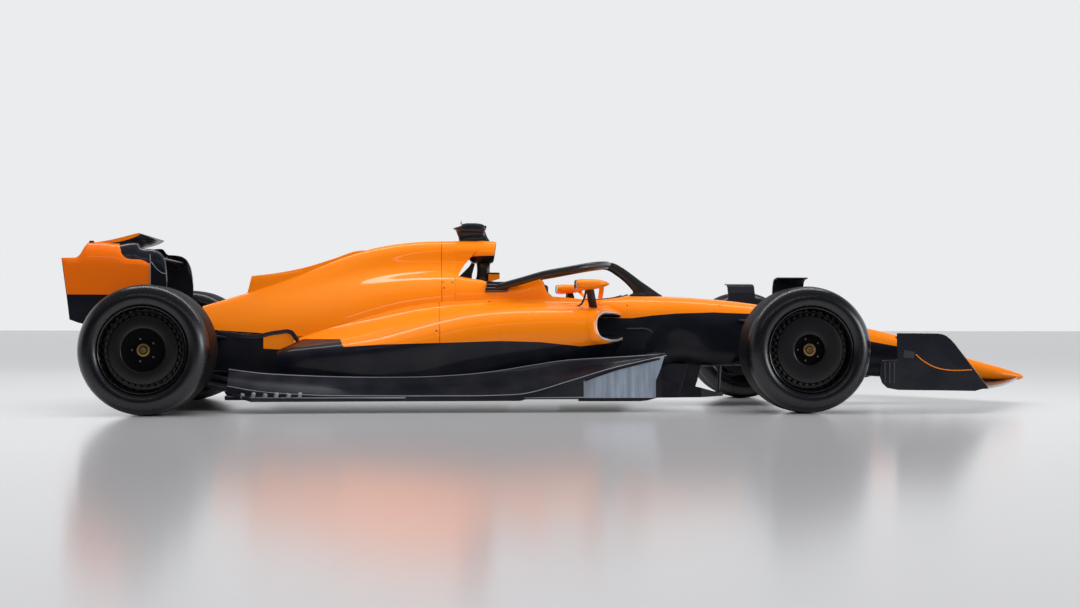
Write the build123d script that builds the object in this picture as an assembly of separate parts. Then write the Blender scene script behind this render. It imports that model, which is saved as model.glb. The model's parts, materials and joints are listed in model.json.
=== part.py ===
from build123d import *
import os

# Open wheel racing car at full size, in millimetres. While it is drawn, x = 0 lies midway
# between the axles, y = 0 on the centreline and z = 0 on the floor; +X points forward.
# The finished pieces then move back so that the origin is under the middle of the car's length.

# Driving sizes of the whole car
WHEELBASE = 3600.0
TYRE_RADIUS = 350.0
HALF_WIDTH = 1000.0
FRONT_OVERHANG = 1590.0
REAR_OVERHANG = 537.0
FRONT_AXLE_X = WHEELBASE / 2
REAR_AXLE_X = -WHEELBASE / 2
NOSE_TIP_X = FRONT_AXLE_X + FRONT_OVERHANG
TAIL_X = REAR_AXLE_X - REAR_OVERHANG
CENTRE_X = (NOSE_TIP_X + TAIL_X) / 2

# Fits and clearances
RUNNING_FIT = 0.05
PIN_GAP = 1.0
MOVING_GAP = 6.0

# Wheels and tyres
FRONT_TYRE_WIDTH = 355.0
REAR_TYRE_WIDTH = 440.0
RIM_RADIUS = 229.0
RIM_WALL = 10.0
BEAD_INSET = 26.0
COVER_INSET = 52.0
HUB_RECESS_RADIUS = 78.0
HUB_RECESS_DEPTH = 22.0
NUT_RADIUS = 27.0
NUT_LENGTH = 34.0
AXLE_RADIUS = 35.0
DISC_WALL = 14.0

# Uprights, brake drums and steering
DRUM_RADIUS = 200.0
DRUM_INSET = 55.0
DRUM_DEPTH_LESS = 150.0
KINGPIN_INSET = 20.0
BALL_RISE = 128.0
PIN_RADIUS = 9.0
EYE_RADIUS = 20.0
EYE_HEIGHT = 22.0
EAR_HEIGHT = 14.0
ARM_REACH = 130.0
TRACK_ROD_Z = 292.0
TRACK_ROD_RADIUS = 11.0
TRACK_EYE_BORE = 14.0
TRACK_EYE_RADIUS = 21.0
WISHBONE_HALF_CHORD = 30.0
WISHBONE_HALF_THICKNESS = 8.0
DRIVESHAFT_RADIUS = 20.0
TRIPOD_RADIUS = 30.0
TRIPOD_DEPTH = 40.0

# Tub and cockpit
KEEL_Z = 83.0
BULKHEAD_X = FRONT_AXLE_X + 350
FIREWALL_X = -150.0
COCKPIT_FRONT_X = 1010.0
COCKPIT_REAR_X = 60.0
COCKPIT_HALF_WIDTH = 235.0
COCKPIT_FRONT_HALF_WIDTH = 175.0
COCKPIT_FLOOR_Z = 125.0
RIM_Z = 640.0

# Floor and plank
FLOOR_THICKNESS = 18.0
FLOOR_HALF_WIDTH = 800.0
PLANK_BOTTOM_Z = 40.0
PLANK_HALF_WIDTH = 150.0

# Wings
FRONT_PLATE_THICKNESS = 15.0
FRONT_SPAN_HALF = HALF_WIDTH - FRONT_PLATE_THICKNESS
REAR_PLATE_THICKNESS = 15.0
REAR_WING_TYRE_GAP = 80.0
REAR_SPAN_HALF = HALF_WIDTH - REAR_TYRE_WIDTH - REAR_WING_TYRE_GAP - REAR_PLATE_THICKNESS

# Halo
HALO_TUBE_RADIUS = 26.0


def ring(x, half_outline):
    """Closed symmetrical outline across the car at x, from (y, z) points of its left half."""
    left = [(x, y, z) for y, z in half_outline]
    right = [(x, -y, z) for y, z in reversed(half_outline)]
    return make_face(Polyline(*left, *right, close=True))


def side_ring(x, outline):
    """Closed outline across one side of the car at x, from (y, z) points all the way round."""
    return make_face(Polyline(*[(x, y, z) for y, z in outline], close=True))


def skin(faces):
    """Solid through a row of outlines with straight rulings between them."""
    return loft(faces, ruled=True)


def plate(outline, y_low, y_high):
    """Flat plate from a side outline of (x, z) points, between two y planes."""
    face = make_face(Polyline(*[(x, y_low, z) for x, z in outline], close=True))
    return extrude(face, amount=y_high - y_low, dir=(0, 1, 0))


def slab(outline, z_low, z_high):
    """Flat plate from a plan outline of (x, y) points, between two z planes."""
    face = make_face(Polyline(*[(x, y, z_low) for x, y in outline], close=True))
    return extrude(face, amount=z_high - z_low, dir=(0, 0, 1))


def block(x_low, x_high, y_low, y_high, z_low, z_high):
    """Plain box between two corners."""
    size = (x_high - x_low, y_high - y_low, z_high - z_low)
    centre = ((x_low + x_high) / 2, (y_low + y_high) / 2, (z_low + z_high) / 2)
    return Pos(*centre) * Box(*size)


def rod(start, end, radius):
    """Round bar between two points."""
    start, end = Vector(*start), Vector(*end)
    plane = Plane(origin=start, z_dir=end - start)
    return extrude(plane * Circle(radius), amount=(end - start).length)


def strut(start, end, half_chord=WISHBONE_HALF_CHORD, half_thickness=WISHBONE_HALF_THICKNESS):
    """Streamlined bar between two points, its long axis turned towards the car's nose."""
    start, end = Vector(*start), Vector(*end)
    along = (end - start).normalized()
    chord = (Vector(1, 0, 0) - along * along.X).normalized()
    plane = Plane(origin=start, x_dir=chord, z_dir=along)
    outline = RectangleRounded(2 * half_chord, 2 * half_thickness, 0.9 * half_thickness)
    return extrude(plane * outline, amount=(end - start).length)


def largest(shape):
    """The biggest solid of a shape that a cut has split."""
    return max(shape.solids(), key=lambda one: one.volume)


def both_sides(solid):
    """The left piece and its mirror image on the right."""
    return [solid, mirror(solid, about=Plane.XZ)]


def aerofoil(y, nose_x, nose_z, tail_x, tail_z, camber, thickness):
    """Wing section at y: a belly arc and a top arc below the chord, closed by a blunt tail."""
    nose, tail = Vector(nose_x, y, nose_z), Vector(tail_x, y, tail_z)
    chord = tail - nose
    down = Vector(-chord.Z, 0, chord.X).normalized()
    if down.Z > 0:
        down = down * -1
    belly = nose + chord * 0.4 + down * camber
    top = nose + chord * 0.45 + down * (camber - thickness)
    tail_low = tail + down * 3
    edges = [
        ThreePointArc(nose, belly, tail_low),
        Line(tail_low, tail),
        ThreePointArc(tail, top, nose),
    ]
    return make_face(edges)


def wing(sections):
    """Wing element through rows of (y, nose x, nose z, tail x, tail z, camber, thickness)."""
    return loft([aerofoil(*row) for row in sections], ruled=True)


def export(name, solids):
    """Write one node, moved so that the origin is under the middle of the car's length."""
    if not isinstance(solids, (list, tuple)):
        solids = [solids]
    loose = [one for piece in solids for one in piece.solids()]
    moved = [one.moved(Location((-CENTRE_X, 0, 0))) for one in loose]
    body = moved[0] if len(moved) == 1 else Compound(children=moved)
    body.label = name
    export_step(body, f"parts/{name}.step")


# Tub and nose sections: x, keel half width, keel z, low flank half width and z,
# high flank half width and z, deck half width and z
TUB_COLUMNS = [
    (FIREWALL_X, 240, KEEL_Z, 330, 200, 343, 540, 250, 640),
    (450, 240, KEEL_Z, 338, 200, 344, 540, 285, 634),
    (620, 240, KEEL_Z, 335, 200, 343, 540, 265, 608),
    (930, 200, KEEL_Z, 300, 220, 312, 540, 170, 655),
    (FRONT_AXLE_X - 684, 180, 239, 245, 320, 285, 545, 150, 657),
    (FRONT_AXLE_X - 64, 130, 243, 190, 310, 205, 530, 110, 605),
    (BULKHEAD_X, 110, 198, 150, 270, 165, 440, 95, 517),
]
NOSE_COLUMNS = [
    (BULKHEAD_X, 110, 198, 150, 270, 165, 440, 95, 517),
    (FRONT_AXLE_X + 807, 95, 170, 130, 230, 140, 340, 80, 418),
    (FRONT_AXLE_X + 1270, 80, 150, 110, 180, 112, 230, 70, 272),
    (FRONT_AXLE_X + 1540, 60, 146, 88, 156, 88, 172, 60, 184),
    (NOSE_TIP_X, 40, 154, 60, 160, 60, 168, 40, 174),
]


def hull_face(x, keel_half, keel_z, low_half, low_z, high_half, high_z, deck_half, deck_z):
    """Eight-sided outline of the tub or nose at x."""
    return ring(x, [(keel_half, keel_z), (low_half, low_z), (high_half, high_z), (deck_half, deck_z)])


def tub_envelope():
    """Outside of the tub, filled."""
    return skin([hull_face(*row) for row in TUB_COLUMNS])


def nose_cone():
    """Nose ahead of the front bulkhead."""
    return skin([hull_face(*row) for row in NOSE_COLUMNS])


KNEE_X = 600.0
HEAD_HALF_WIDTH = 262.0
HEAD_FRONT_X = 560.0
HEAD_REAR_X = 40.0
HEAD_LEDGE_Z = 600.0


def cockpit_void():
    """Space for the driver, open upwards, narrower at the knees."""
    outline = [
        (COCKPIT_REAR_X, -COCKPIT_HALF_WIDTH),
        (COCKPIT_REAR_X, COCKPIT_HALF_WIDTH),
        (KNEE_X, COCKPIT_HALF_WIDTH),
        (COCKPIT_FRONT_X, COCKPIT_FRONT_HALF_WIDTH),
        (COCKPIT_FRONT_X, -COCKPIT_FRONT_HALF_WIDTH),
        (KNEE_X, -COCKPIT_HALF_WIDTH),
    ]
    return slab(outline, COCKPIT_FLOOR_Z, RIM_Z + 200)


# Cockpit surround sections: x, foot half width and z, waist half width and z,
# shoulder half width and z, top half width and z
SURROUND_COLUMNS = [
    (-112, 345, 560, 345, 600, 270, 755, 235, 770),
    (40, 345, 560, 340, 610, 295, 728, 250, 746),
    (216, 345, 560, 338, 620, 305, 705, 278, 728),
    (353, 345, 560, 335, 630, 312, 735, 286, 757),
    (380, 345, 560, 335, 620, 313, 715, 290, 738),
    (408, 345, 560, 335, 610, 318, 655, 300, 678),
    (454, 345, 560, 337, 595, 326, 622, 305, 637),
    (560, 345, 560, 340, 580, 332, 598, 315, 608),
]


def surround_envelope():
    """Outside of the bodywork round the driver's head, filled."""
    return skin([
        ring(x, [(a, b), (c, d), (e, f), (g, h)])
        for x, a, b, c, d, e, f, g, h in SURROUND_COLUMNS
    ])


def head_void():
    """Space round the driver's head and its pads, open upwards."""
    return block(HEAD_REAR_X, HEAD_FRONT_X + 1, -HEAD_HALF_WIDTH, HEAD_HALF_WIDTH, HEAD_LEDGE_Z, RIM_Z + 300)


# Engine cover sections: x, hem half width and z, hip half width and z, shoulder half width
# and z, neck half width and z, spine half width and z
COVER_COLUMNS = [
    (-112, 350, 385, 345, 600, 270, 755, 125, 800, 85, 986),
    (-500, 340, 385, 330, 590, 235, 750, 110, 800, 60, 968),
    (-706, 325, 392, 300, 570, 198, 718, 100, 784, 46, 922),
    (-879, 290, 400, 255, 555, 160, 680, 85, 750, 30, 860),
    (REAR_AXLE_X + 700, 225, 424, 190, 540, 122, 632, 68, 695, 24, 766),
    (REAR_AXLE_X + 453, 150, 440, 130, 540, 85, 600, 50, 640, 18, 679),
    (REAR_AXLE_X + 171, 80, 458, 70, 520, 50, 560, 30, 580, 12, 594),
]
# Fin on the spine, side view: x, z
FIN_OUTLINE = [
    (-600, 940), (-706, 927), (-861, 879), (REAR_AXLE_X + 784, 830), (REAR_AXLE_X + 611, 794),
    (REAR_AXLE_X + 457, 774), (REAR_AXLE_X + 424, 667), (REAR_AXLE_X + 440, 600), (-879, 760), (-600, 860),
]
FIN_THICKNESS = 9.0
AIRBOX_FRONT_X = 112.0
AIRBOX_LIP_Z = 856.0
AIRBOX_TOP_Z = 989.0
AIRBOX_HALF_WIDTH = 120.0
AIRBOX_WALL = 9.0
AIRBOX_DUCT_DEPTH = 150.0


def cover_envelope():
    """Outside of the engine cover, filled, with its fin."""
    body = skin([
        ring(x, [(a, b), (c, d), (e, f), (g, h), (i, j)])
        for x, a, b, c, d, e, f, g, h, i, j in COVER_COLUMNS
    ])
    return body + plate(FIN_OUTLINE, -FIN_THICKNESS / 2, FIN_THICKNESS / 2)


def airbox_face(x, inset):
    """Rounded three-cornered mouth outline of the airbox at x."""
    low = AIRBOX_LIP_Z + inset
    top = AIRBOX_TOP_Z - inset
    half = AIRBOX_HALF_WIDTH - inset
    return ring(x, [(0.55 * half, low), (half, low + 32), (0.92 * half, low + 74), (0.5 * half, top)])


def airbox():
    """Intake pod over the driver's head, with its duct open to the front."""
    back_x = COVER_COLUMNS[0][0]
    pod = skin([airbox_face(back_x, 0), airbox_face(AIRBOX_FRONT_X, 0)])
    duct_back = AIRBOX_FRONT_X - AIRBOX_DUCT_DEPTH
    duct = skin([airbox_face(duct_back, AIRBOX_WALL), airbox_face(AIRBOX_FRONT_X + 1, AIRBOX_WALL)])
    return pod - duct


# Engine and gearbox behind the tub
ENGINE_REAR_X = -850.0
ENGINE_HALF_WIDTH = 210.0
ENGINE_TOP_Z = 520.0
GEARBOX_REAR_X = REAR_AXLE_X + 20
BOSS_RADIUS = 58.0
BOSS_HALF_SPAN = 130.0
# Gearbox sections: x, half width, bottom z, top z
GEARBOX_COLUMNS = [
    (ENGINE_REAR_X, 170, 110, 470),
    (REAR_AXLE_X + 450, 120, 150, 430),
    (GEARBOX_REAR_X, 90, 240, 440),
]


def engine():
    """Engine and its tanks as one plain block."""
    return block(
        ENGINE_REAR_X, FIREWALL_X, -ENGINE_HALF_WIDTH, ENGINE_HALF_WIDTH, KEEL_Z, ENGINE_TOP_Z
    )


def gearbox():
    """Gearbox case, tapering to the back, bored on both sides for the driveshafts."""
    case = skin([ring(x, [(half, low), (half, high)]) for x, half, low, high in GEARBOX_COLUMNS])
    case = case + rod(
        (REAR_AXLE_X, -BOSS_HALF_SPAN, TYRE_RADIUS), (REAR_AXLE_X, BOSS_HALF_SPAN, TYRE_RADIUS), BOSS_RADIUS
    )
    for side in (1, -1):
        bore = rod(
            (REAR_AXLE_X, side * (BOSS_HALF_SPAN - TRIPOD_DEPTH), TYRE_RADIUS),
            (REAR_AXLE_X, side * (BOSS_HALF_SPAN + 1), TYRE_RADIUS),
            TRIPOD_RADIUS + RUNNING_FIT,
        )
        case = case - bore
    return case


# Left sidepod sections: x, crown half width and z at the cover, crease half width and z,
# widest half width and z, undercut half width and z, foot half width and z
POD_INNER_Y = 150.0
POD_COLUMNS = [
    (842, 300, 545, 420, 540, 430, 480, 430, 400, 400, KEEL_Z),
    (660, 300, 590, 620, 556, 715, 470, 600, 340, 430, KEEL_Z),
    (448, 300, 606, 655, 575, 735, 470, 640, 320, 500, KEEL_Z),
    (-42, 300, 590, 650, 562, 735, 450, 690, 300, 600, KEEL_Z),
    (-400, 260, 560, 600, 480, 710, 400, 690, 290, 620, KEEL_Z),
    (-780, 220, 480, 500, 400, 630, 350, 640, 270, 600, KEEL_Z),
    (REAR_AXLE_X + 663, 180, 350, 380, 345, 500, 320, 510, 240, 480, KEEL_Z),
]
# Inlet duct sections: x, inner y, outer y, bottom z, top z
INLET_COLUMNS = [
    (900, 330, 700, 400, 535),
    (640, 330, 690, 405, 535),
    (420, 330, 640, 420, 540),
]


def sidepod_envelope():
    """Outside of the left sidepod, filled, before its neighbours are cut from it."""
    faces = []
    for x, y1, z1, y2, z2, y3, z3, y4, z4, y5, z5 in POD_COLUMNS:
        faces.append(side_ring(x, [
            (POD_INNER_Y, z5), (POD_INNER_Y, z1), (y1, z1), (y2, z2), (y3, z3), (y4, z4), (y5, z5),
        ]))
    return skin(faces)


def inlet_duct():
    """Space behind the left sidepod's mouth."""
    return skin([
        side_ring(x, [(inner, low), (outer, low), (outer, high), (inner, high)])
        for x, inner, outer, low, high in INLET_COLUMNS
    ])


# Floor sheet in side view, upper surface, nose to tail: x, z
FLOOR_RISE = [(1040, 329), (624, 223), (283, 103), (219, KEEL_Z)]
DIFFUSER_START_X = REAR_AXLE_X + 550
DIFFUSER_END_X = REAR_AXLE_X - 350
DIFFUSER_END_Z = 300.0
DIFFUSER_HALF_WIDTH = 525.0
# Left half of the floor in plan: x, y
FLOOR_PLAN = [
    (1040, 0), (1040, FLOOR_HALF_WIDTH - 110), (960, FLOOR_HALF_WIDTH - 40), (DIFFUSER_START_X, FLOOR_HALF_WIDTH),
    (REAR_AXLE_X + 400, FLOOR_HALF_WIDTH - 100), (REAR_AXLE_X + 370, DIFFUSER_HALF_WIDTH),
    (DIFFUSER_END_X, DIFFUSER_HALF_WIDTH), (DIFFUSER_END_X, 0),
]


def below_floor():
    """Everything under the floor's upper surface."""
    upper = FLOOR_RISE + [(DIFFUSER_START_X, KEEL_Z), (DIFFUSER_END_X, DIFFUSER_END_Z)]
    return plate(upper + [(DIFFUSER_END_X, 0), (FLOOR_RISE[0][0], 0)], -HALF_WIDTH, HALF_WIDTH)


def floor_sheet():
    """Floor with its raised front mouth and the diffuser ramp."""
    upper = FLOOR_RISE + [(DIFFUSER_START_X, KEEL_Z), (DIFFUSER_END_X, DIFFUSER_END_Z)]
    lower = [(x, z - FLOOR_THICKNESS) for x, z in reversed(upper)]
    sheet = plate(upper + lower, -FLOOR_HALF_WIDTH, FLOOR_HALF_WIDTH)
    plan = FLOOR_PLAN + [(x, -y) for x, y in reversed(FLOOR_PLAN) if y]
    return sheet & slab(plan, 0, DIFFUSER_END_Z + 100)


# Floor fences, left side: front x and y, rear x and y, bottom z
FENCE_COLUMNS = [
    (1030, 330, 620, 300, 52),
    (1035, 460, 600, 430, 52),
    (1035, 590, 560, 580, 52),
    (1035, FLOOR_HALF_WIDTH - 112, 300, FLOOR_HALF_WIDTH - 30, 48),
]
FENCE_THICKNESS = 8.0


def fence(front_x, front_y, rear_x, rear_y, bottom_z):
    """Upright vane under the raised front of the floor, its top following the sheet."""
    half = FENCE_THICKNESS / 2
    plan = [
        (front_x, front_y - half), (front_x, front_y + half), (rear_x, rear_y + half), (rear_x, rear_y - half),
    ]
    front_x, front_z = FLOOR_RISE[0]
    flat_z = FLOOR_RISE[-1][1] - FLOOR_THICKNESS
    roof = [(front_x + 60, front_z)] + [(x, z - FLOOR_THICKNESS) for x, z in FLOOR_RISE] + [(100, flat_z)]
    under = plate(roof + [(100, 0), (front_x + 60, 0)], 0, FLOOR_HALF_WIDTH + 100)
    return slab(plan, bottom_z, front_z + 60) & under


# Dished blade over the left floor edge, nose to tail, across the car at x:
# top edge, middle and low edge, each as its way in from the floor's half width and its z; z of its foot on the floor
EDGE_BLADE_COLUMNS = [
    (1034, 100, 322, 70, 318, 32, 315, 300),
    (900, 100, 312, 62, 297, 25, 286, 270),
    (700, 110, 300, 65, 262, 17, 238, 220),
    (480, 120, 286, 67, 220, 12, 172, 150),
    (240, 128, 250, 69, 166, 12, 106, KEEL_Z - 1),
    (60, 132, 222, 71, 148, 12, 96, KEEL_Z - 1),
    (-226, 132, 198, 72, 136, 12, 94, KEEL_Z - 1),
    (-557, 132, 192, 74, 134, 15, 95, KEEL_Z - 1),
    (-996, 145, 202, 86, 144, 30, 103, KEEL_Z - 1),
    (DIFFUSER_START_X + 14, 168, 216, 120, 160, 76, 120, KEEL_Z - 1),
    (REAR_AXLE_X + 404, 188, 236, 150, 184, 118, 146, KEEL_Z - 1),
]
EDGE_BLADE_THICKNESS = 9.0


def edge_blade():
    """Dished blade on the left floor edge, sweeping up over the front fences."""
    wall = EDGE_BLADE_THICKNESS
    rings = []
    for x, top_in, top_z, mid_in, mid_z, low_in, low_z, foot_z in EDGE_BLADE_COLUMNS:
        top_y, mid_y, low_y = FLOOR_HALF_WIDTH - top_in, FLOOR_HALF_WIDTH - mid_in, FLOOR_HALF_WIDTH - low_in
        rings.append(side_ring(x, [
            (top_y, top_z), (mid_y, mid_z), (low_y, low_z), (low_y, foot_z), (low_y - wall, foot_z),
            (low_y - wall, low_z - wall / 2), (mid_y - wall / 2, mid_z - wall), (top_y - wall, top_z - wall / 2),
        ]))
    return skin(rings)


# Bib under the tub: x, half width, bottom z, top z
BIB_COLUMNS = [
    (880, 200, 50, KEEL_Z - FLOOR_THICKNESS),
    (FRONT_AXLE_X - 684, 190, 50, 160),
    (FRONT_AXLE_X - 452, 150, 50, 107),
    (FRONT_AXLE_X - 301, 60, 54, 66),
]
STAY_X = FRONT_AXLE_X - 315
STAY_RADIUS = 6.0


def bib():
    """Splitter ahead of the floor, with the stay that hangs its tip from the tub."""
    wedge = skin([ring(x, [(half, low), (half, high)]) for x, half, low, high in BIB_COLUMNS])
    return wedge + rod((STAY_X, 0, 60), (STAY_X, 0, 400), STAY_RADIUS)


# Left halo tube in plan and height at the middle of the tube: x, y
HALO_SLOPE = 0.19
HALO_REAR_X = 70.0
HALO_REAR_Z = 700.0
HALO_POINTS = [(HALO_REAR_X, 300), (330, 372), (640, 330), (790, 120), (790, 0)]
HALO_CORNER = 160.0
HALO_NOSE_CORNER = 75.0
# Centre strut of the halo, side view: x, z
HALO_STRUT_OUTLINE = [
    (750, 862), (880, 850), (930, 800), (1029, 722), (1128, 640), (943, 640), (962, 728), (876, 788),
    (783, 836),
]
HALO_STRUT_HALF_WIDTH = 14.0
# Fairing at each rear end of the halo, side view: x, z
HALO_FOOT_OUTLINE = [(39, 640), (39, 738), (110, 738), (160, 722), (234, 722), (205, 684), (190, 640)]
HALO_FOOT_INNER_Y = 268.0
HALO_FOOT_OUTER_Y = 334.0


def halo():
    """Head protection hoop on its centre strut."""
    length = (1 + HALO_SLOPE ** 2) ** 0.5
    plane = Plane(
        origin=(HALO_REAR_X, 0, HALO_REAR_Z), x_dir=(1, 0, HALO_SLOPE), z_dir=(-HALO_SLOPE, 0, 1)
    )
    left = [((x - HALO_REAR_X) * length, y) for x, y in HALO_POINTS[:-1]]
    flat = left + [(x, -y) for x, y in reversed(left)]
    corners = [HALO_CORNER, HALO_CORNER, HALO_NOSE_CORNER, HALO_NOSE_CORNER, HALO_CORNER, HALO_CORNER]
    path = plane * FilletPolyline(*flat, radius=corners)
    start = Plane(origin=path @ 0, z_dir=path % 0)
    hoop = sweep(start * Circle(HALO_TUBE_RADIUS), path=path)
    return hoop + plate(HALO_STRUT_OUTLINE, -HALO_STRUT_HALF_WIDTH, HALO_STRUT_HALF_WIDTH)


def rear_foot():
    """Fairing that carries the halo's left rear end."""
    return plate(HALO_FOOT_OUTLINE, HALO_FOOT_INNER_Y, HALO_FOOT_OUTER_Y)


# Front wing elements, left half, root to tip:
# y, nose x, nose z, tail x, tail z, camber, thickness
FRONT_WING_ELEMENTS = {
    "mainplane": [
        (40, FRONT_AXLE_X + 1545, 166, FRONT_AXLE_X + 1290, 150, 26, 18),
        (550, FRONT_AXLE_X + 1280, 150, FRONT_AXLE_X + 1030, 155, 26, 16),
        (FRONT_SPAN_HALF, FRONT_AXLE_X + 985, 142, FRONT_AXLE_X + 800, 160, 16, 12),
    ],
    "flap_low": [
        (60, FRONT_AXLE_X + 1285, 172, FRONT_AXLE_X + 1130, 215, 20, 12),
        (550, FRONT_AXLE_X + 1022, 172, FRONT_AXLE_X + 880, 225, 20, 12),
        (FRONT_SPAN_HALF, FRONT_AXLE_X + 795, 178, FRONT_AXLE_X + 690, 235, 14, 9),
    ],
    "flap_mid": [
        (60, FRONT_AXLE_X + 1125, 232, FRONT_AXLE_X + 990, 290, 18, 11),
        (550, FRONT_AXLE_X + 875, 242, FRONT_AXLE_X + 745, 320, 18, 11),
        (FRONT_SPAN_HALF, FRONT_AXLE_X + 684, 252, FRONT_AXLE_X + 590, 330, 12, 8),
    ],
    "flap_top": [
        (60, FRONT_AXLE_X + 985, 308, FRONT_AXLE_X + 860, 370, 16, 10),
        (550, FRONT_AXLE_X + 738, 338, FRONT_AXLE_X + 610, 415, 16, 10),
        (FRONT_SPAN_HALF, FRONT_AXLE_X + 584, 348, FRONT_AXLE_X + 492, 428, 10, 8),
    ],
}
# Front endplate, side view: x, z
FRONT_PLATE_OUTLINE = [
    (FRONT_AXLE_X + 476, 443), (FRONT_AXLE_X + 715, 441), (FRONT_AXLE_X + 749, 430), (FRONT_AXLE_X + 799, 388),
    (FRONT_AXLE_X + 991, 140), (FRONT_AXLE_X + 912, 124), (FRONT_AXLE_X + 400, 164), (FRONT_AXLE_X + 377, 210),
    (FRONT_AXLE_X + 476, 295),
]


# Rear wing elements, tip to tip: nose x, nose z, tail x, tail z, camber, thickness.
# The flap is drawn open, as it stands in the photo.
REAR_MAIN = (REAR_AXLE_X - 5, 866, REAR_AXLE_X - 165, 884, 40, 22)
DRS_FLAP = (REAR_AXLE_X - 125, 1003, REAR_AXLE_X - 400, 948, 24, 22)
BEAM_LOW = (REAR_AXLE_X - 140, 480, REAR_AXLE_X - 330, 525, 24, 16)
MAIN_REACH = 13.0
DRS_PIVOT_X = REAR_AXLE_X - 392
DRS_PIVOT_Z = 950.0
DRS_PIN_RADIUS = 4.0
DRS_HALF_SPAN = REAR_SPAN_HALF - 80
DRS_PIN_HALF_SPAN = REAR_SPAN_HALF - 64
# Ear that holds each end of the flap's pin
EAR_INNER_Y = REAR_SPAN_HALF - 74
EAR_OUTER_Y = REAR_SPAN_HALF - 61
EAR_HALF_SIZE = 14.0
# Rear endplate, side view, up to where it rolls inwards: x, z
REAR_PLATE_OUTLINE = [
    (TAIL_X, 857), (REAR_AXLE_X - 434, 860), (REAR_AXLE_X - 425, 840), (REAR_AXLE_X + 31, 800),
    (REAR_AXLE_X + 41, 696), (REAR_AXLE_X + 20, 500), (REAR_AXLE_X - 120, 462), (REAR_AXLE_X - 432, 492),
    (REAR_AXLE_X - 492, 510),
]
# Rolled top of the rear endplate: x, foot z, top z, reach inwards from the outer face
ROLL_COLUMNS = [
    (REAR_AXLE_X - 434, 815, 862, 25),
    (REAR_AXLE_X - 397, 815, 947, 88),
    (REAR_AXLE_X - 149, 815, 956, 88),
    (REAR_AXLE_X - 110, 815, 918, 70),
    (REAR_AXLE_X - 42, 810, 913, 68),
    (REAR_AXLE_X + 7, 790, 884, 50),
    (REAR_AXLE_X + 31, 770, 826, 28),
]
# Share of the way from the plate's outer face to the inner edge, and of the way from foot to top
ROLL_SHAPE = [(0.0, 0.0), (0.06, 0.33), (0.22, 0.62), (0.52, 0.85), (1.0, 1.0)]
ROLL_THICKNESS = 12.0


def roll_face(x, foot_z, top_z, reach):
    """Bent strip across the left endplate's rolled top at x."""
    outer_y = REAR_SPAN_HALF + REAR_PLATE_THICKNESS
    rise = top_z - foot_z
    outside = [(outer_y - reach * a, foot_z + rise * b) for a, b in ROLL_SHAPE]
    shrink = rise - ROLL_THICKNESS
    inside = [
        (outer_y - REAR_PLATE_THICKNESS - (reach - REAR_PLATE_THICKNESS) * a, foot_z + shrink * b)
        for a, b in reversed(ROLL_SHAPE)
    ]
    return side_ring(x, outside + inside)


def rear_endplate():
    """Left rear endplate with its rolled top and the bored ear for the flap's pin."""
    flat = plate(REAR_PLATE_OUTLINE, REAR_SPAN_HALF, REAR_SPAN_HALF + REAR_PLATE_THICKNESS)
    rolled = skin([roll_face(*row) for row in ROLL_COLUMNS])
    ear = block(
        DRS_PIVOT_X - EAR_HALF_SIZE, DRS_PIVOT_X + EAR_HALF_SIZE, EAR_INNER_Y, EAR_OUTER_Y,
        DRS_PIVOT_Z - EAR_HALF_SIZE, DRS_PIVOT_Z + EAR_HALF_SIZE,
    )
    bore = rod(
        (DRS_PIVOT_X, EAR_INNER_Y - 1, DRS_PIVOT_Z), (DRS_PIVOT_X, EAR_OUTER_Y + 1, DRS_PIVOT_Z),
        DRS_PIN_RADIUS + RUNNING_FIT,
    )
    return flat + rolled + ear - bore


def drs_flap():
    """Opening flap with its pivot pin near the tail."""
    pin = rod(
        (DRS_PIVOT_X, -DRS_PIN_HALF_SPAN, DRS_PIVOT_Z), (DRS_PIVOT_X, DRS_PIN_HALF_SPAN, DRS_PIVOT_Z),
        DRS_PIN_RADIUS,
    )
    return straight_wing(DRS_FLAP, DRS_HALF_SPAN) + pin


def straight_wing(row, half_span):
    """Wing element of one section between two tips."""
    return wing([(-half_span, *row), (half_span, *row)])


# Tyre section: bead inset, side inset and radius, tread inset, from each face
SIDE_INSET = 0.0
SIDE_RADIUS = 304.0
TREAD_INSET = 46.0


def tyre(width):
    """Slick tyre round +Y, from its inner face at y = 0 to its outer face at y = width."""
    half = [(RIM_RADIUS, BEAD_INSET), (SIDE_RADIUS, SIDE_INSET), (TYRE_RADIUS, TREAD_INSET)]
    profile = half + [(radius, width - y) for radius, y in reversed(half)]
    return revolve(make_face(Polyline(*profile, close=True)), Axis.Y)


def rim(width, axle_inner_y):
    """Rim with its closed cover, wheel nut and the axle that turns in the upright."""
    lip = width - BEAD_INSET
    cover = width - COVER_INSET
    floor = cover - HUB_RECESS_DEPTH
    back = floor - DISC_WALL
    profile = [
        (0, axle_inner_y), (AXLE_RADIUS, axle_inner_y), (AXLE_RADIUS, back),
        (RIM_RADIUS - RIM_WALL, back), (RIM_RADIUS - RIM_WALL, BEAD_INSET), (RIM_RADIUS, BEAD_INSET),
        (RIM_RADIUS, lip), (RIM_RADIUS - RIM_WALL, lip), (HUB_RECESS_RADIUS + 8, cover),
        (HUB_RECESS_RADIUS, floor), (NUT_RADIUS, floor), (NUT_RADIUS, floor + NUT_LENGTH),
        (0, floor + NUT_LENGTH),
    ]
    return revolve(make_face(Polyline(*profile, close=True)), Axis.Y)


def drum(width):
    """Brake drum and bearing housing, bored for the axle."""
    inner, outer = DRUM_INSET, width - DRUM_DEPTH_LESS
    bore = AXLE_RADIUS + RUNNING_FIT
    profile = [(bore, inner), (DRUM_RADIUS, inner), (DRUM_RADIUS, outer), (bore, outer)]
    return revolve(make_face(Polyline(*profile, close=True)), Axis.Y)


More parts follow.
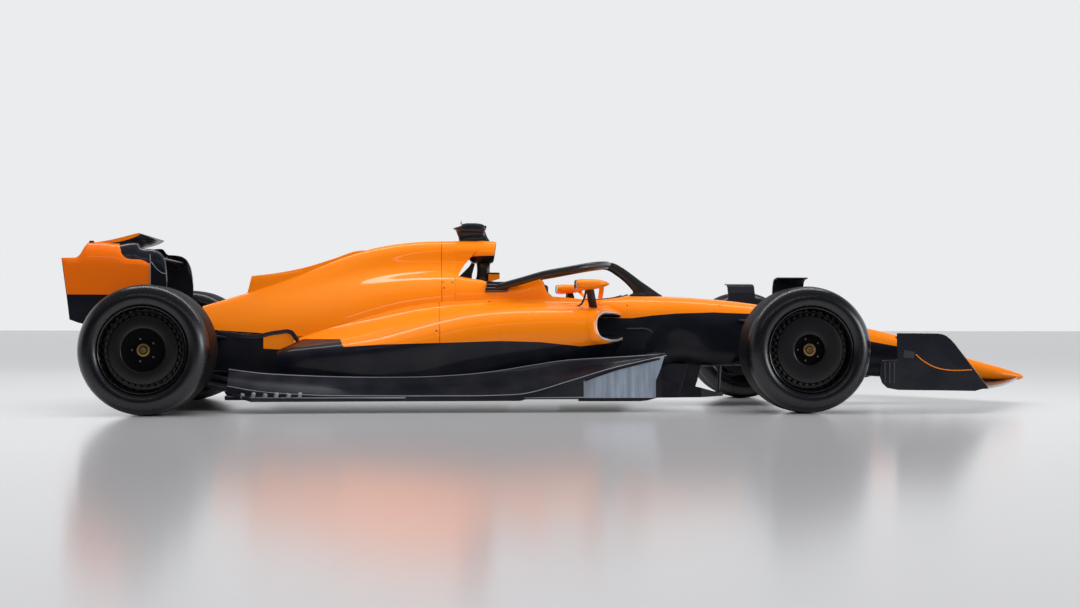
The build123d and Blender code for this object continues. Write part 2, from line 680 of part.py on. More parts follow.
def wheel_place(axle_x, width):
    """Where a left wheel's inner face centre goes on the car."""
    return Pos(axle_x, HALF_WIDTH - width, TYRE_RADIUS)


FRONT_INNER_Y = HALF_WIDTH - FRONT_TYRE_WIDTH
KINGPIN_Y = FRONT_INNER_Y + KINGPIN_INSET
STEER_ARM_X = FRONT_AXLE_X + ARM_REACH
EAR_HALF_DEPTH = 14.0
ARM_HALF_LENGTH = 16.0
ARM_HALF_SPREAD = 34.0
ARM_THICKNESS = 12.0


def front_upright():
    """Left knuckle: drum, two clevises on the kingpin line, steering arm and wake winglet."""
    body = wheel_place(FRONT_AXLE_X, FRONT_TYRE_WIDTH) * drum(FRONT_TYRE_WIDTH)
    face_y = FRONT_INNER_Y + DRUM_INSET
    reach = EYE_HEIGHT / 2 + PIN_GAP + EAR_HEIGHT / 2
    for level in (TYRE_RADIUS + BALL_RISE, TYRE_RADIUS - BALL_RISE):
        for middle in (level - reach, level + reach):
            body = body + block(
                FRONT_AXLE_X - EYE_RADIUS, FRONT_AXLE_X + EYE_RADIUS, KINGPIN_Y - EAR_HALF_DEPTH, face_y + 1,
                middle - EAR_HEIGHT / 2, middle + EAR_HEIGHT / 2,
            )
        pin_low, pin_high = (FRONT_AXLE_X, KINGPIN_Y, level - reach), (FRONT_AXLE_X, KINGPIN_Y, level + reach)
        body = body + rod(pin_low, pin_high, PIN_RADIUS)
    low, high = TRACK_ROD_Z - ARM_HALF_SPREAD, TRACK_ROD_Z + ARM_HALF_SPREAD
    for base in (low, high - ARM_THICKNESS):
        body = body + block(
            STEER_ARM_X - ARM_HALF_LENGTH, STEER_ARM_X + ARM_HALF_LENGTH,
            KINGPIN_Y - ARM_THICKNESS, face_y + 1, base, base + ARM_THICKNESS,
        )
    body = body + rod(
        (STEER_ARM_X, KINGPIN_Y, low), (STEER_ARM_X, KINGPIN_Y, high), TRACK_EYE_BORE - MOVING_GAP
    )
    return body + wake_winglet()


# Wake winglet over the inner edge of the left front tyre, across the car:
# y from the tyre's inner face, height of its middle line over the axle
WINGLET_LINE = [(-45, 210), (-33, 340), (-12, 382), (15, 396), (75, 402)]
WINGLET_HALF_THICKNESS = 3.0
WINGLET_REAR_X = FRONT_AXLE_X - 129
WINGLET_LENGTH = 178.0
WINGLET_STAY_X = FRONT_AXLE_X - 45


def wake_winglet():
    """Curved deflector on the drum, passing up the tyre's inner side and over its top."""
    line = [(FRONT_INNER_Y + y, TYRE_RADIUS + rise) for y, rise in WINGLET_LINE]
    outer = [(y - WINGLET_HALF_THICKNESS, z + WINGLET_HALF_THICKNESS) for y, z in line]
    inner = [(y + WINGLET_HALF_THICKNESS, z - WINGLET_HALF_THICKNESS) for y, z in reversed(line)]
    blade = extrude(side_ring(WINGLET_REAR_X, outer + inner), amount=WINGLET_LENGTH, dir=(1, 0, 0))
    stay_top = (WINGLET_STAY_X, FRONT_INNER_Y - 45, TYRE_RADIUS + 240)
    stay_foot = (WINGLET_STAY_X, FRONT_INNER_Y + DRUM_INSET, TYRE_RADIUS + 180)
    stay = strut(stay_top, stay_foot, 22, 7)
    return blade + stay


def rear_upright():
    """Left rear hub carrier, fixed, bored for the turning axle."""
    return wheel_place(REAR_AXLE_X, REAR_TYRE_WIDTH) * drum(REAR_TYRE_WIDTH)


# Front suspension legs, left side: inner x, y, z; outer joint level
FRONT_LEGS = [
    (FRONT_AXLE_X + 250, 100, 500, BALL_RISE),
    (FRONT_AXLE_X - 270, 120, 520, BALL_RISE),
    (FRONT_AXLE_X + 260, 80, 250, -BALL_RISE),
    (FRONT_AXLE_X - 280, 80, 268, -BALL_RISE),
]
# Rear suspension legs, left side, all from the rear axle: inner x, y, z; outer x, y inside the drum, z
REAR_LEGS = [
    (330, 40, 400, 0, 25, 465),
    (-60, 40, 410, -20, 25, 465),
    (380, 40, 200, 0, 25, 235),
    (20, 20, 280, -30, 25, 235),
    (160, 40, 340, 90, 25, 300),
]


def front_legs():
    """Left wishbones: two legs to each eye, bored for the knuckle's pin."""
    wishbones = []
    for rise in (BALL_RISE, -BALL_RISE):
        joint = Vector(FRONT_AXLE_X, KINGPIN_Y, TYRE_RADIUS + rise)
        half_eye = Vector(0, 0, EYE_HEIGHT / 2)
        eye = rod(joint - half_eye, joint + half_eye, EYE_RADIUS)
        for x, y, z, level in FRONT_LEGS:
            if level == rise:
                eye = eye + strut(joint, (x, y, z))
        wishbones.append(eye - rod(joint - half_eye * 3, joint + half_eye * 3, PIN_RADIUS + RUNNING_FIT))
    return wishbones


def rear_legs():
    """Left rear links, before their neighbours are cut from them."""
    drum_face_y = HALF_WIDTH - REAR_TYRE_WIDTH + DRUM_INSET
    links = []
    for x, y, z, outer_x, depth, outer_z in REAR_LEGS:
        links.append(strut((REAR_AXLE_X + x, y, z), (REAR_AXLE_X + outer_x, drum_face_y + depth, outer_z)))
    return links


def driveshaft():
    """Left driveshaft from the gearbox to the axle, thick where it turns in the gearbox."""
    shaft_end = HALF_WIDTH - REAR_TYRE_WIDTH + DRUM_INSET
    shaft = rod(
        (REAR_AXLE_X, BOSS_HALF_SPAN, TYRE_RADIUS), (REAR_AXLE_X, shaft_end, TYRE_RADIUS), DRIVESHAFT_RADIUS
    )
    return shaft + rod(
        (REAR_AXLE_X, BOSS_HALF_SPAN - TRIPOD_DEPTH + 1, TYRE_RADIUS),
        (REAR_AXLE_X, BOSS_HALF_SPAN + 8, TYRE_RADIUS), TRIPOD_RADIUS,
    )


TRACK_EYE_HALF_HEIGHT = 12.0


def steering_rack():
    """Rack bar through the tub with a track rod eye at each end."""
    half_bar = KINGPIN_Y - TRACK_EYE_BORE - 2
    bar = rod((STEER_ARM_X, -half_bar, TRACK_ROD_Z), (STEER_ARM_X, half_bar, TRACK_ROD_Z), TRACK_ROD_RADIUS)
    for y in (KINGPIN_Y, -KINGPIN_Y):
        low, high = TRACK_ROD_Z - TRACK_EYE_HALF_HEIGHT, TRACK_ROD_Z + TRACK_EYE_HALF_HEIGHT
        bar = bar + rod((STEER_ARM_X, y, low), (STEER_ARM_X, y, high), TRACK_EYE_RADIUS)
        bar = bar - rod((STEER_ARM_X, y, low - 9), (STEER_ARM_X, y, high + 9), TRACK_EYE_BORE)
    return bar


# Steering wheel and column, on the centreline: x, z at the wheel, and the column's run forward
WHEEL_X = 694.0
WHEEL_Z = 541.2
COLUMN_RUN_X = 400.0
COLUMN_DROP = 80.0
COLUMN_RADIUS = 12.0
WHEEL_WIDTH = 270.0
WHEEL_HEIGHT = 150.0
WHEEL_CORNER = 40.0
WHEEL_HALF_THICKNESS = 14.0


def column(radius, spare):
    """Steering column, or with spare length the bore it turns in."""
    reach = 1 + spare / COLUMN_RUN_X
    end = (WHEEL_X + COLUMN_RUN_X * reach, 0, WHEEL_Z - COLUMN_DROP * reach)
    return rod((WHEEL_X + 6, 0, WHEEL_Z - 1.2), end, radius)


def steering_wheel():
    """Flat yoke of a racing steering wheel on its column."""
    plane = Plane(origin=(WHEEL_X, 0, WHEEL_Z), x_dir=(0, 1, 0), z_dir=(-COLUMN_RUN_X, 0, COLUMN_DROP))
    outline = RectangleRounded(WHEEL_WIDTH, WHEEL_HEIGHT, WHEEL_CORNER)
    yoke = extrude(plane * outline, amount=WHEEL_HALF_THICKNESS, both=True)
    return yoke + column(COLUMN_RADIUS, 0)


# Roll hoop behind the driver, side view: x, z of the pillar and of the gusset behind it
PILLAR_OUTLINE = [(-12, 700), (82, 700), (82, 862), (2, 862), (2, 745), (-12, 745)]
GUSSET_OUTLINE = [(-116, 765), (-30, 752), (-28, 790), (-13, 852), (-30, 856)]
PILLAR_HALF_WIDTH = 40.0
GUSSET_HALF_WIDTH = 34.0


def roll_hoop():
    """Pillar and gusset that carry the intake pod over the rear deck."""
    pillar = plate(PILLAR_OUTLINE, -PILLAR_HALF_WIDTH, PILLAR_HALF_WIDTH)
    return pillar, plate(GUSSET_OUTLINE, -GUSSET_HALF_WIDTH, GUSSET_HALF_WIDTH)


# Headrest pad in plan: x, y of its left half, round the driver's head
PAD_OUTLINE = [(40, 0), (40, 262), (420, 262), (420, 215), (136, 184), (116, 0)]
PAD_LOW_Z = 600.0
PAD_TOP_Z = 722.0
# Seat, side view: x, z
SEAT_OUTLINE = [
    (120, 560), (90, 560), (330, COCKPIT_FLOOR_Z), (820, COCKPIT_FLOOR_Z), (820, 200), (600, 150), (380, 160),
]
SEAT_HALF_WIDTH = 190.0


def headrest():
    """Padded collar round the driver's head, as one horseshoe."""
    outline = PAD_OUTLINE + [(x, -y) for x, y in reversed(PAD_OUTLINE) if y]
    return slab(outline, PAD_LOW_Z, PAD_TOP_Z)


# Mirror housing, left side, sections along the car: x, inner y, outer y, low z, high z
MIRROR_COLUMNS = [
    (541, 515, 690, 688, 738),
    (600, 512, 694, 682, 745),
    (690, 540, 672, 692, 742),
    (731, 575, 640, 706, 730),
]
MIRROR_STAY_TOP = (655, 590, 695)
MIRROR_STAY_FOOT = (618, 520, 562)


def mirror_arm():
    """Left mirror on its blade stay."""
    housing = skin([
        side_ring(x, [(inner, low), (outer, low), (outer, high), (inner, high)])
        for x, inner, outer, low, high in MIRROR_COLUMNS
    ])
    return housing + strut(MIRROR_STAY_TOP, MIRROR_STAY_FOOT, 22, 5)


# Camera on the intake pod, side view: x, z of its pedestal and its pod
CAMERA_PEDESTAL = [(-110, 984), (81, 984), (50, 1060), (-118, 1056)]
CAMERA_POD = [(-145, 1060), (-121, 1052), (54, 1056), (54, 1080), (26, 1098), (-95, 1096)]
CAMERA_PEDESTAL_HALF_WIDTH = 26.0
CAMERA_POD_HALF_WIDTH = 62.0


def roll_camera():
    """Camera housing over the intake pod."""
    pedestal = plate(CAMERA_PEDESTAL, -CAMERA_PEDESTAL_HALF_WIDTH, CAMERA_PEDESTAL_HALF_WIDTH)
    return pedestal + plate(CAMERA_POD, -CAMERA_POD_HALF_WIDTH, CAMERA_POD_HALF_WIDTH)


# Crash structure behind the gearbox: x, half width, bottom z, top z
CRASH_COLUMNS = [
    (GEARBOX_REAR_X, 70, 310, 430),
    (REAR_AXLE_X - 490, 45, 320, 390),
]
LIGHT_LENGTH = 30.0
# Rear wing pylon, side view: x, z
PYLON_OUTLINE = [
    (REAR_AXLE_X - 110, 380), (REAR_AXLE_X - 210, 380), (REAR_AXLE_X - 130, 890), (REAR_AXLE_X - 50, 890),
]
PYLON_INNER_Y = 54.0
PYLON_OUTER_Y = 64.0
# Exhaust, on the centreline: front and rear x, z
EXHAUST_FRONT = (REAR_AXLE_X + 240, 0, 520)
EXHAUST_REAR = (REAR_AXLE_X - 260, 0, 590)
EXHAUST_RADIUS = 48.0
EXHAUST_WALL = 5.0
EXHAUST_BORE_DEPTH = 160.0


def crash_structure():
    """Rear impact structure, tapering to its light."""
    return skin([ring(x, [(half, low), (half, high)]) for x, half, low, high in CRASH_COLUMNS])


def rain_light():
    """Light on the end of the crash structure."""
    rear_x, half, low, high = CRASH_COLUMNS[-1]
    return block(rear_x - LIGHT_LENGTH, rear_x, -(half - 10), half - 10, low + 5, high - 5)


def exhaust():
    """Tailpipe, open at its rear end."""
    pipe = rod(EXHAUST_FRONT, EXHAUST_REAR, EXHAUST_RADIUS)
    front, rear = Vector(*EXHAUST_FRONT), Vector(*EXHAUST_REAR)
    along = (rear - front).normalized()
    return pipe - rod(rear - along * EXHAUST_BORE_DEPTH, rear + along * 5, EXHAUST_RADIUS - EXHAUST_WALL)


PLANK_REAR_X = REAR_AXLE_X + 320
PLANK_FRONT_X = 880.0


def plank():
    """Skid board under the floor."""
    return block(
        PLANK_REAR_X, PLANK_FRONT_X, -PLANK_HALF_WIDTH, PLANK_HALF_WIDTH,
        PLANK_BOTTOM_Z, KEEL_Z - FLOOR_THICKNESS,
    )


def export_body(tub, cover, surround, engine_block, gearbox_case, floor):
    """Bodywork, floor and what stands on them."""
    pod = airbox() - cover
    pillar, gusset = roll_hoop()
    rack_half = BULKHEAD_X - FRONT_AXLE_X
    rack_bore = rod(
        (STEER_ARM_X, -rack_half, TRACK_ROD_Z), (STEER_ARM_X, rack_half, TRACK_ROD_Z),
        TRACK_ROD_RADIUS + RUNNING_FIT,
    )
    column_bore = column(COLUMN_RADIUS + RUNNING_FIT, 10)
    tub_shell = tub - cockpit_void() - head_void() - rack_bore - column_bore
    export("monocoque", tub_shell)
    export("nose_cone", nose_cone())
    export("engine_cover", cover - tub - engine_block - gearbox_case)
    export("engine_block", engine_block - tub)
    export("gearbox", gearbox_case)
    export("airbox", pod)
    hoop_solids = [pillar - pod - cover, gusset - pod - cover - pillar]
    export("roll_hoop", hoop_solids)
    collar = surround - tub - cover - head_void() - cockpit_void()
    for solid in hoop_solids:
        collar = collar - solid
    export("cockpit_surround", collar)
    export("floor", floor - tub - engine_block)
    left_pod = sidepod_envelope() - tub - cover - engine_block - gearbox_case - surround
    left_pod = left_pod - below_floor() - inlet_duct()
    export("sidepod_left", left_pod)
    export("sidepod_right", mirror(left_pod, about=Plane.XZ))
    fences = [fence(*row) for row in FENCE_COLUMNS]
    export("floor_fences", [one for piece in fences for one in both_sides(piece - tub)])
    export("floor_edge_wings", both_sides(largest(edge_blade() - left_pod - floor)))
    export("plank", plank())
    export("splitter", bib() - tub)
    foot = rear_foot() - tub - surround
    hoop = halo() - tub - surround + foot + mirror(foot, about=Plane.XZ)
    export("halo", hoop)
    export("headrest", headrest() - hoop - tub_shell - pillar)
    export("seat", plate(SEAT_OUTLINE, -SEAT_HALF_WIDTH, SEAT_HALF_WIDTH) - tub_shell)
    export("mirrors", both_sides(mirror_arm() - left_pod - tub - surround))
    export("roll_camera", roll_camera() - cover - pod)


def export_wings(nose, gearbox_case):
    """Front and rear wings and the tail that carries the rear one."""
    export("front_wing_mainplane", both_sides(wing(FRONT_WING_ELEMENTS["mainplane"]) - nose))
    flaps = [wing(FRONT_WING_ELEMENTS[name]) - nose for name in ("flap_low", "flap_mid", "flap_top")]
    export("front_wing_flaps", [one for piece in flaps for one in both_sides(piece)])
    export("front_wing_endplates", both_sides(plate(FRONT_PLATE_OUTLINE, FRONT_SPAN_HALF, HALF_WIDTH)))

    end_plate = rear_endplate()
    other_plate = mirror(end_plate, about=Plane.XZ)
    main_plane = largest(straight_wing(REAR_MAIN, REAR_SPAN_HALF + MAIN_REACH) - end_plate - other_plate)
    beam = straight_wing(BEAM_LOW, REAR_SPAN_HALF)
    export("rear_wing_endplates", [end_plate, other_plate])
    export("rear_wing_mainplane", main_plane)
    export("drs_flap", drs_flap())
    export("beam_wing", beam)
    crash = crash_structure() - gearbox_case
    export("rear_crash_structure", crash)
    export("rain_light", rain_light())
    pylon = plate(PYLON_OUTLINE, PYLON_INNER_Y, PYLON_OUTER_Y)
    export("rear_wing_pylons", [piece - main_plane - beam - crash for piece in both_sides(pylon)])
    return crash


def export_running_gear(tub, gearbox_case, crash):
    """Wheels, uprights, suspension, driveshafts and steering."""
    corners = (("front", FRONT_AXLE_X, FRONT_TYRE_WIDTH), ("rear", REAR_AXLE_X, REAR_TYRE_WIDTH))
    for corner, axle_x, width in corners:
        place = wheel_place(axle_x, width)
        pieces = ((f"tyre_{corner}", place * tyre(width)), (f"rim_{corner}", place * rim(width, DRUM_INSET)))
        for name, solid in pieces:
            export(f"{name}_left", solid)
            export(f"{name}_right", mirror(solid, about=Plane.XZ))

    knuckle = front_upright()
    export("upright_front_left", knuckle)
    export("upright_front_right", mirror(knuckle, about=Plane.XZ))
    carrier = rear_upright()
    export("uprights_rear", both_sides(carrier))
    export("front_suspension", [one for leg in front_legs() for one in both_sides(leg - tub)])
    links = [link - gearbox_case - carrier - crash for link in rear_legs()]
    export("rear_suspension", [one for link in links for one in both_sides(link)])
    export("driveshaft_left", driveshaft())
    export("driveshaft_right", mirror(driveshaft(), about=Plane.XZ))
    export("steering_rack", steering_rack())
    export("steering_wheel", steering_wheel())


def main():
    os.makedirs("parts", exist_ok=True)
    tub = tub_envelope()
    cover = cover_envelope()
    surround = surround_envelope() - cover
    floor = floor_sheet()
    gearbox_case = gearbox() - floor
    export_body(tub, cover, surround, engine(), gearbox_case, floor)
    export("exhaust_tailpipe", exhaust() - cover - gearbox_case)
    crash = export_wings(nose_cone(), gearbox_case)
    export_running_gear(tub, gearbox_case, crash)


main()
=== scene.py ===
# %% [markdown]
# # An open wheel racing car
# This lesson dresses a CAD model of a single seat racing car. The CAD model gives every piece its
# place and its size; here each one gets the smooth skin, the paint and the small parts of the real
# car. All sizes are in millimetres from the middle of the wheelbase, as on a maker's drawing:
# x runs forward, y to the car's left and z up from the floor.

# %% Load the frame
import json
import math

import bmesh
import bpy
import numpy as np
from mathutils import Matrix, Vector


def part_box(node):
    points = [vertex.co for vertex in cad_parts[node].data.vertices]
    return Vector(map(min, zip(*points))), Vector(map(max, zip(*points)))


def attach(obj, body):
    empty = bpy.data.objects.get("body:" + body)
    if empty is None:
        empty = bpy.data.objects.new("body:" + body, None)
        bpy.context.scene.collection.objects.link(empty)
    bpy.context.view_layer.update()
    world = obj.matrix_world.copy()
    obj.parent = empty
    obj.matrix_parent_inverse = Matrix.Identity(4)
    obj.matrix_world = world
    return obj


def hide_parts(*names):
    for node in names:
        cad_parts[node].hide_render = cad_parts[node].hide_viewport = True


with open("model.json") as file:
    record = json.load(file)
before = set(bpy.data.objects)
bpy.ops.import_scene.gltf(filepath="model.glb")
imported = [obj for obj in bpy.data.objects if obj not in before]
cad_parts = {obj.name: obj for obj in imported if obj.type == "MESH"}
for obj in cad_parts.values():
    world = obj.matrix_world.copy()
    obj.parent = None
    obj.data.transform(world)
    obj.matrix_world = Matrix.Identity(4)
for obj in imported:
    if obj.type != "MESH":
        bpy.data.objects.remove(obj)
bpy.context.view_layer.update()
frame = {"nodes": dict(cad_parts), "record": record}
ORIGIN_X = 526.5
FRONT_AXLE, REAR_AXLE, AXLE_Z = 1800.0, -1800.0, 350.0
HALF_WIDTH = 1000.0


def metres(points):
    """Points in millimetres on the drawing, as metres in the frame of the CAD model."""
    points = np.asarray(points, float)
    return (points - np.array([ORIGIN_X, 0, 0])) / 1000


# %% [markdown]
# ## The camera
# The photograph is taken from the car's right side, low and a little behind the middle. A pinhole
# camera was fitted to the four tyres, so it stands where the photographer stood and its lens has
# the same angle of view.

# %% Camera
YAW, PITCH, ROLL = 4.5, 0.691, 0.064
FOCAL_PIXELS, PICTURE_WIDTH, SENSOR_WIDTH = 1457.5, 1080, 36
CAMERA_PLACE = (-308, -8821, 504)
camera_data = bpy.data.cameras.new("camera")
camera_data.sensor_width = SENSOR_WIDTH
camera_data.lens = SENSOR_WIDTH * FOCAL_PIXELS / PICTURE_WIDTH
camera = bpy.data.objects.new("camera", camera_data)
camera.location = metres(CAMERA_PLACE)
turn = Matrix.Rotation(math.radians(-YAW), 3, "Z") @ Matrix.Rotation(math.radians(90 + PITCH), 3, "X")
camera.rotation_euler = (turn @ Matrix.Rotation(math.radians(ROLL), 3, "Z")).to_euler()
bpy.context.scene.collection.objects.link(camera)
bpy.context.scene.camera = camera
print("lens", round(camera_data.lens, 2), "mm at", [round(v, 3) for v in camera.location])

# %% [markdown]
# ## Smooth surfaces from short tables
# Car bodies are drawn as a row of sections. A section is a short list of points, and a smooth
# surface has to pass through all of them. Subdivision would pull the surface inside its cage, so
# here a cubic curve is laid through the points instead, first round each section and then from
# section to section. A row can be marked sharp where the real panel has an edge.

# %% Curves through points


def smooth_rows(rows, per_span, sharp=()):
    """Cubic curve through rows of numbers, with straight-through slopes except at sharp rows."""
    rows = np.asarray(rows, float)
    flat = rows.reshape(len(rows), -1)
    width = flat.shape[1] // 3 if flat.shape[1] % 3 == 0 else 1
    gaps = np.maximum(np.linalg.norm(np.diff(flat, axis=0), axis=1) / math.sqrt(width), 1e-6)
    slopes = np.diff(flat, axis=0) / gaps[:, None]
    arrive, leave = np.empty_like(flat), np.empty_like(flat)
    for i in range(len(flat)):
        before, after = slopes[max(i - 1, 0)], slopes[min(i, len(slopes) - 1)]
        if i in sharp or i in (0, len(flat) - 1):
            arrive[i], leave[i] = before, after
        else:
            share = gaps[i - 1] / (gaps[i - 1] + gaps[i])
            arrive[i] = leave[i] = before * (1 - share) + after * share
    out = []
    for i, gap in enumerate(gaps):
        t = np.linspace(0, 1, per_span, endpoint=False)[:, None]
        out.append(
            (2 * t**3 - 3 * t**2 + 1) * flat[i] + (t**3 - 2 * t**2 + t) * gap * leave[i]
            + (3 * t**2 - 2 * t**3) * flat[i + 1] + (t**3 - t**2) * gap * arrive[i + 1]
        )
    out.append(flat[-1:])
    return np.concatenate(out).reshape(-1, *rows.shape[1:])


def surface_grid(sections, along, around, sharp_sections=(), sharp_points=()):
    """Grid of points through sections of (x, y, z) points: along the car and round each section."""
    rings = [smooth_rows(section, around, sharp_points) for section in np.asarray(sections, float)]
    return smooth_rows(np.array(rings), along, sharp_sections)


def faired(grid, passes):
    """Grid sanded fair, as with a long flat board: each pass pulls a point towards its neighbours' middle."""
    grid = np.array(grid, float)
    for _ in range(passes):
        moved = grid.copy()
        moved[1:-1] += 0.5 * ((grid[:-2] + grid[2:]) / 2 - grid[1:-1])
        moved[:, 1:-1] += 0.2 * ((grid[:, :-2] + grid[:, 2:]) / 2 - grid[:, 1:-1])
        grid = moved
    return grid


def sections_at(table):
    """Sections of (x, y, z) points from rows of (x, [(y, z), ...])."""
    return [[(x, y, z) for y, z in points] for x, points in table]


print("a curve of", len(smooth_rows([(0, 0, 0), (1, 1, 0), (2, 0, 0)], 8)), "points")

# %% [markdown]
# ## From points to pieces
# Each piece is one mesh with its place in its own vertices and its object left at the origin, as the
# CAD nodes are, so that patterns stay put on it. Edges that turn sharply keep a hard shade, and all
# others are smooth.

# %% Building meshes
SHARP_ANGLE = math.radians(38)
SAME_PLACE = 2e-5


def new_object(name, data):
    """Object in the scene that shows some data, at the origin."""
    item = bpy.data.objects.new(name, data)
    bpy.context.scene.collection.objects.link(item)
    return item


def new_mesh(name, bm):
    """Mesh from a bmesh, which it frees."""
    mesh = bpy.data.meshes.new(name)
    bm.to_mesh(mesh)
    bm.free()
    return mesh


def add_piece(name, bm, material, body="chassis", replaces=(), outward=True):
    """Finish a bmesh in metres as a piece that rides on a body."""
    bmesh.ops.remove_doubles(bm, verts=bm.verts, dist=SAME_PLACE)
    bmesh.ops.dissolve_degenerate(bm, edges=bm.edges, dist=1e-6)
    if outward:
        bmesh.ops.recalc_face_normals(bm, faces=bm.faces)
    for edge in bm.edges:
        if len(edge.link_faces) == 2 and edge.calc_face_angle(0) > SHARP_ANGLE:
            edge.smooth = False
    for face in bm.faces:
        face.smooth = True
    piece = new_object(name, new_mesh(name, bm))
    for one in material if isinstance(material, (list, tuple)) else [material]:
        piece.data.materials.append(one)
    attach(piece, body)
    if replaces:
        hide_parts(*replaces)
    return piece


def add_grid(bm, grid, mirrored=False, ring=False, caps=(), material=0):
    """Quads over a grid of drawing points; caps close its first (0) or last (-1) row.

    The material is a slot's number, or a function that gives it from a face's row and column."""
    pick = material if callable(material) else lambda row, column: material
    for side in (1, -1) if mirrored else (1,):
        points = metres(np.asarray(grid) * np.array([1, side, 1]))
        rows = [[bm.verts.new(p) for p in row] for row in points]
        count = len(rows[0])
        for row, (low, high) in enumerate(zip(rows, rows[1:])):
            for i in range(count if ring else count - 1):
                j = (i + 1) % count
                quad = [low[i], low[j], high[j], high[i]]
                face = bm.faces.new(quad if side == 1 else quad[::-1])
                face.material_index = pick(row, i)
        for cap in caps:
            bm.faces.new(rows[cap]).material_index = pick(cap % (len(rows) - 1), 0)


def oval(count, across=1.0, up=1.0):
    """Pairs of cosine and sine round a ring; powers below 1 fill its corners."""
    turns = []
    for a in np.linspace(0, 2 * math.pi, count, endpoint=False):
        c, d = math.cos(a), math.sin(a)
        turns.append((math.copysign(abs(c) ** across, c), math.copysign(abs(d) ** up, d)))
    return turns


def tube_grid(path, width, height=None, sides=16, tilt=(0, 0, 1), square=1.0):
    """Ring of points round each point of a path; width and height may change along it.

    With square below 1 the ring's round sides get flatter."""
    path = np.asarray(path, float)
    width = np.broadcast_to(width, len(path))
    height = width if height is None else np.broadcast_to(height, len(path))
    rows = []
    for point, way, w, h in zip(path, np.gradient(path, axis=0), width, height):
        way = way / np.linalg.norm(way)
        across = np.cross(way, tilt)
        across = across / np.linalg.norm(across)
        up = np.cross(across, way)
        rows.append([point + across * w * c + up * h * d for c, d in oval(sides, square, square)])
    return rows


def add_tube(bm, path, width, height=None, sides=16, tilt=(0, 0, 1), square=1.0, mirrored=False, material=0):
    """Closed tube along a path of drawing points and, mirrored, one on the car's other side too."""
    for side in (1, -1) if mirrored else (1,):
        grid = tube_grid(np.asarray(path, float) * np.array([1, side, 1]), width, height, sides, tilt, square)
        add_grid(bm, grid, ring=True, caps=(0, -1), material=material)


def box_into(bm, low, high, material=0):
    """Box between two drawing corners, added to a bmesh."""
    (x0, y0, z0), (x1, y1, z1) = metres(low), metres(high)
    corners = [bm.verts.new((x, y, z)) for x in (x0, x1) for y in (y0, y1) for z in (z0, z1)]
    for quad in ((0, 1, 3, 2), (4, 6, 7, 5), (0, 4, 5, 1), (2, 3, 7, 6), (0, 2, 6, 4), (1, 5, 7, 3)):
        bm.faces.new([corners[i] for i in quad]).material_index = material


def plate_into(bm, outline, y_low, y_high, material=0, mirrored=False):
    """Flat plate with a side outline of (x, z) points between two y planes."""
    for side in (1, -1) if mirrored else (1,):
        low, high = ([bm.verts.new(p) for p in metres([(x, side * y, z) for x, z in outline])]
                     for y in (y_low, y_high))
        for i in range(len(outline)):
            j = (i + 1) % len(outline)
            bm.faces.new([low[i], low[j], high[j], high[i]]).material_index = material
        bm.faces.new(low).material_index = material
        bm.faces.new(high[::-1]).material_index = material


def add_bevel(piece, width):
    """Round a piece's edges by a width in millimetres."""
    bevel = piece.modifiers.new("bevel", "BEVEL")
    bevel.width = width / 1000
    bevel.segments = 3
    bevel.limit_method = "ANGLE"
    bevel.angle_limit = math.radians(30)
    bevel.harden_normals = False


print("helpers ready")

# %% [markdown]
# ## Shared effects
# The bodywork is carbon fibre: some of it is painted, some shows its weave under a clear coat, and
# all of it has a little dust. Each effect is a node group with named inputs, so that every
# material places it with its own values. The groups only put out masks, colours and heights; the
# shader itself stays in each material.

# %% Node groups


class Nodes:
    """Short way to add nodes to a tree and join them."""

    def __init__(self, tree):
        self.tree = tree

    def join(self, socket, value):
        """Feed a socket from another node's output, or give it a value of its own."""
        if isinstance(value, bpy.types.NodeSocket):
            self.tree.links.new(value, socket)
        else:
            socket.default_value = value

    def add(self, kind, settings=None, **inputs):
        """New node; its inputs go by their names, or by number as in0 and in1."""
        node = self.tree.nodes.new(kind)
        for key, value in (settings or {}).items():
            setattr(node, key, value)
        for key, value in inputs.items():
            numbered = key.startswith("in") and key[2:].isdigit()
            self.join(node.inputs[int(key[2:]) if numbered else key.replace("_", " ")], value)
        return node

    def math(self, operation, first, second=0.0, third=0.0, clamp=False):
        settings = {"operation": operation, "use_clamp": clamp}
        return self.add("ShaderNodeMath", settings, in0=first, in1=second, in2=third).outputs[0]

    def mix(self, factor, first, second):
        return self.add("ShaderNodeMix", {"data_type": "RGBA"}, in0=factor, in6=first, in7=second).outputs[2]


def new_group(name, inputs, outputs, kind="ShaderNodeTree"):
    """Node group with named sockets: rows of (name, kind, value) and of (name, kind)."""
    tree = bpy.data.node_groups.new(name, kind)
    for label, sort, value in inputs:
        socket = tree.interface.new_socket(label, in_out="INPUT", socket_type="NodeSocket" + sort)
        if value is not None:
            socket.default_value = value
    for label, sort in outputs:
        tree.interface.new_socket(label, in_out="OUTPUT", socket_type="NodeSocket" + sort)
    return tree, Nodes(tree), tree.nodes.new("NodeGroupInput"), tree.nodes.new("NodeGroupOutput")


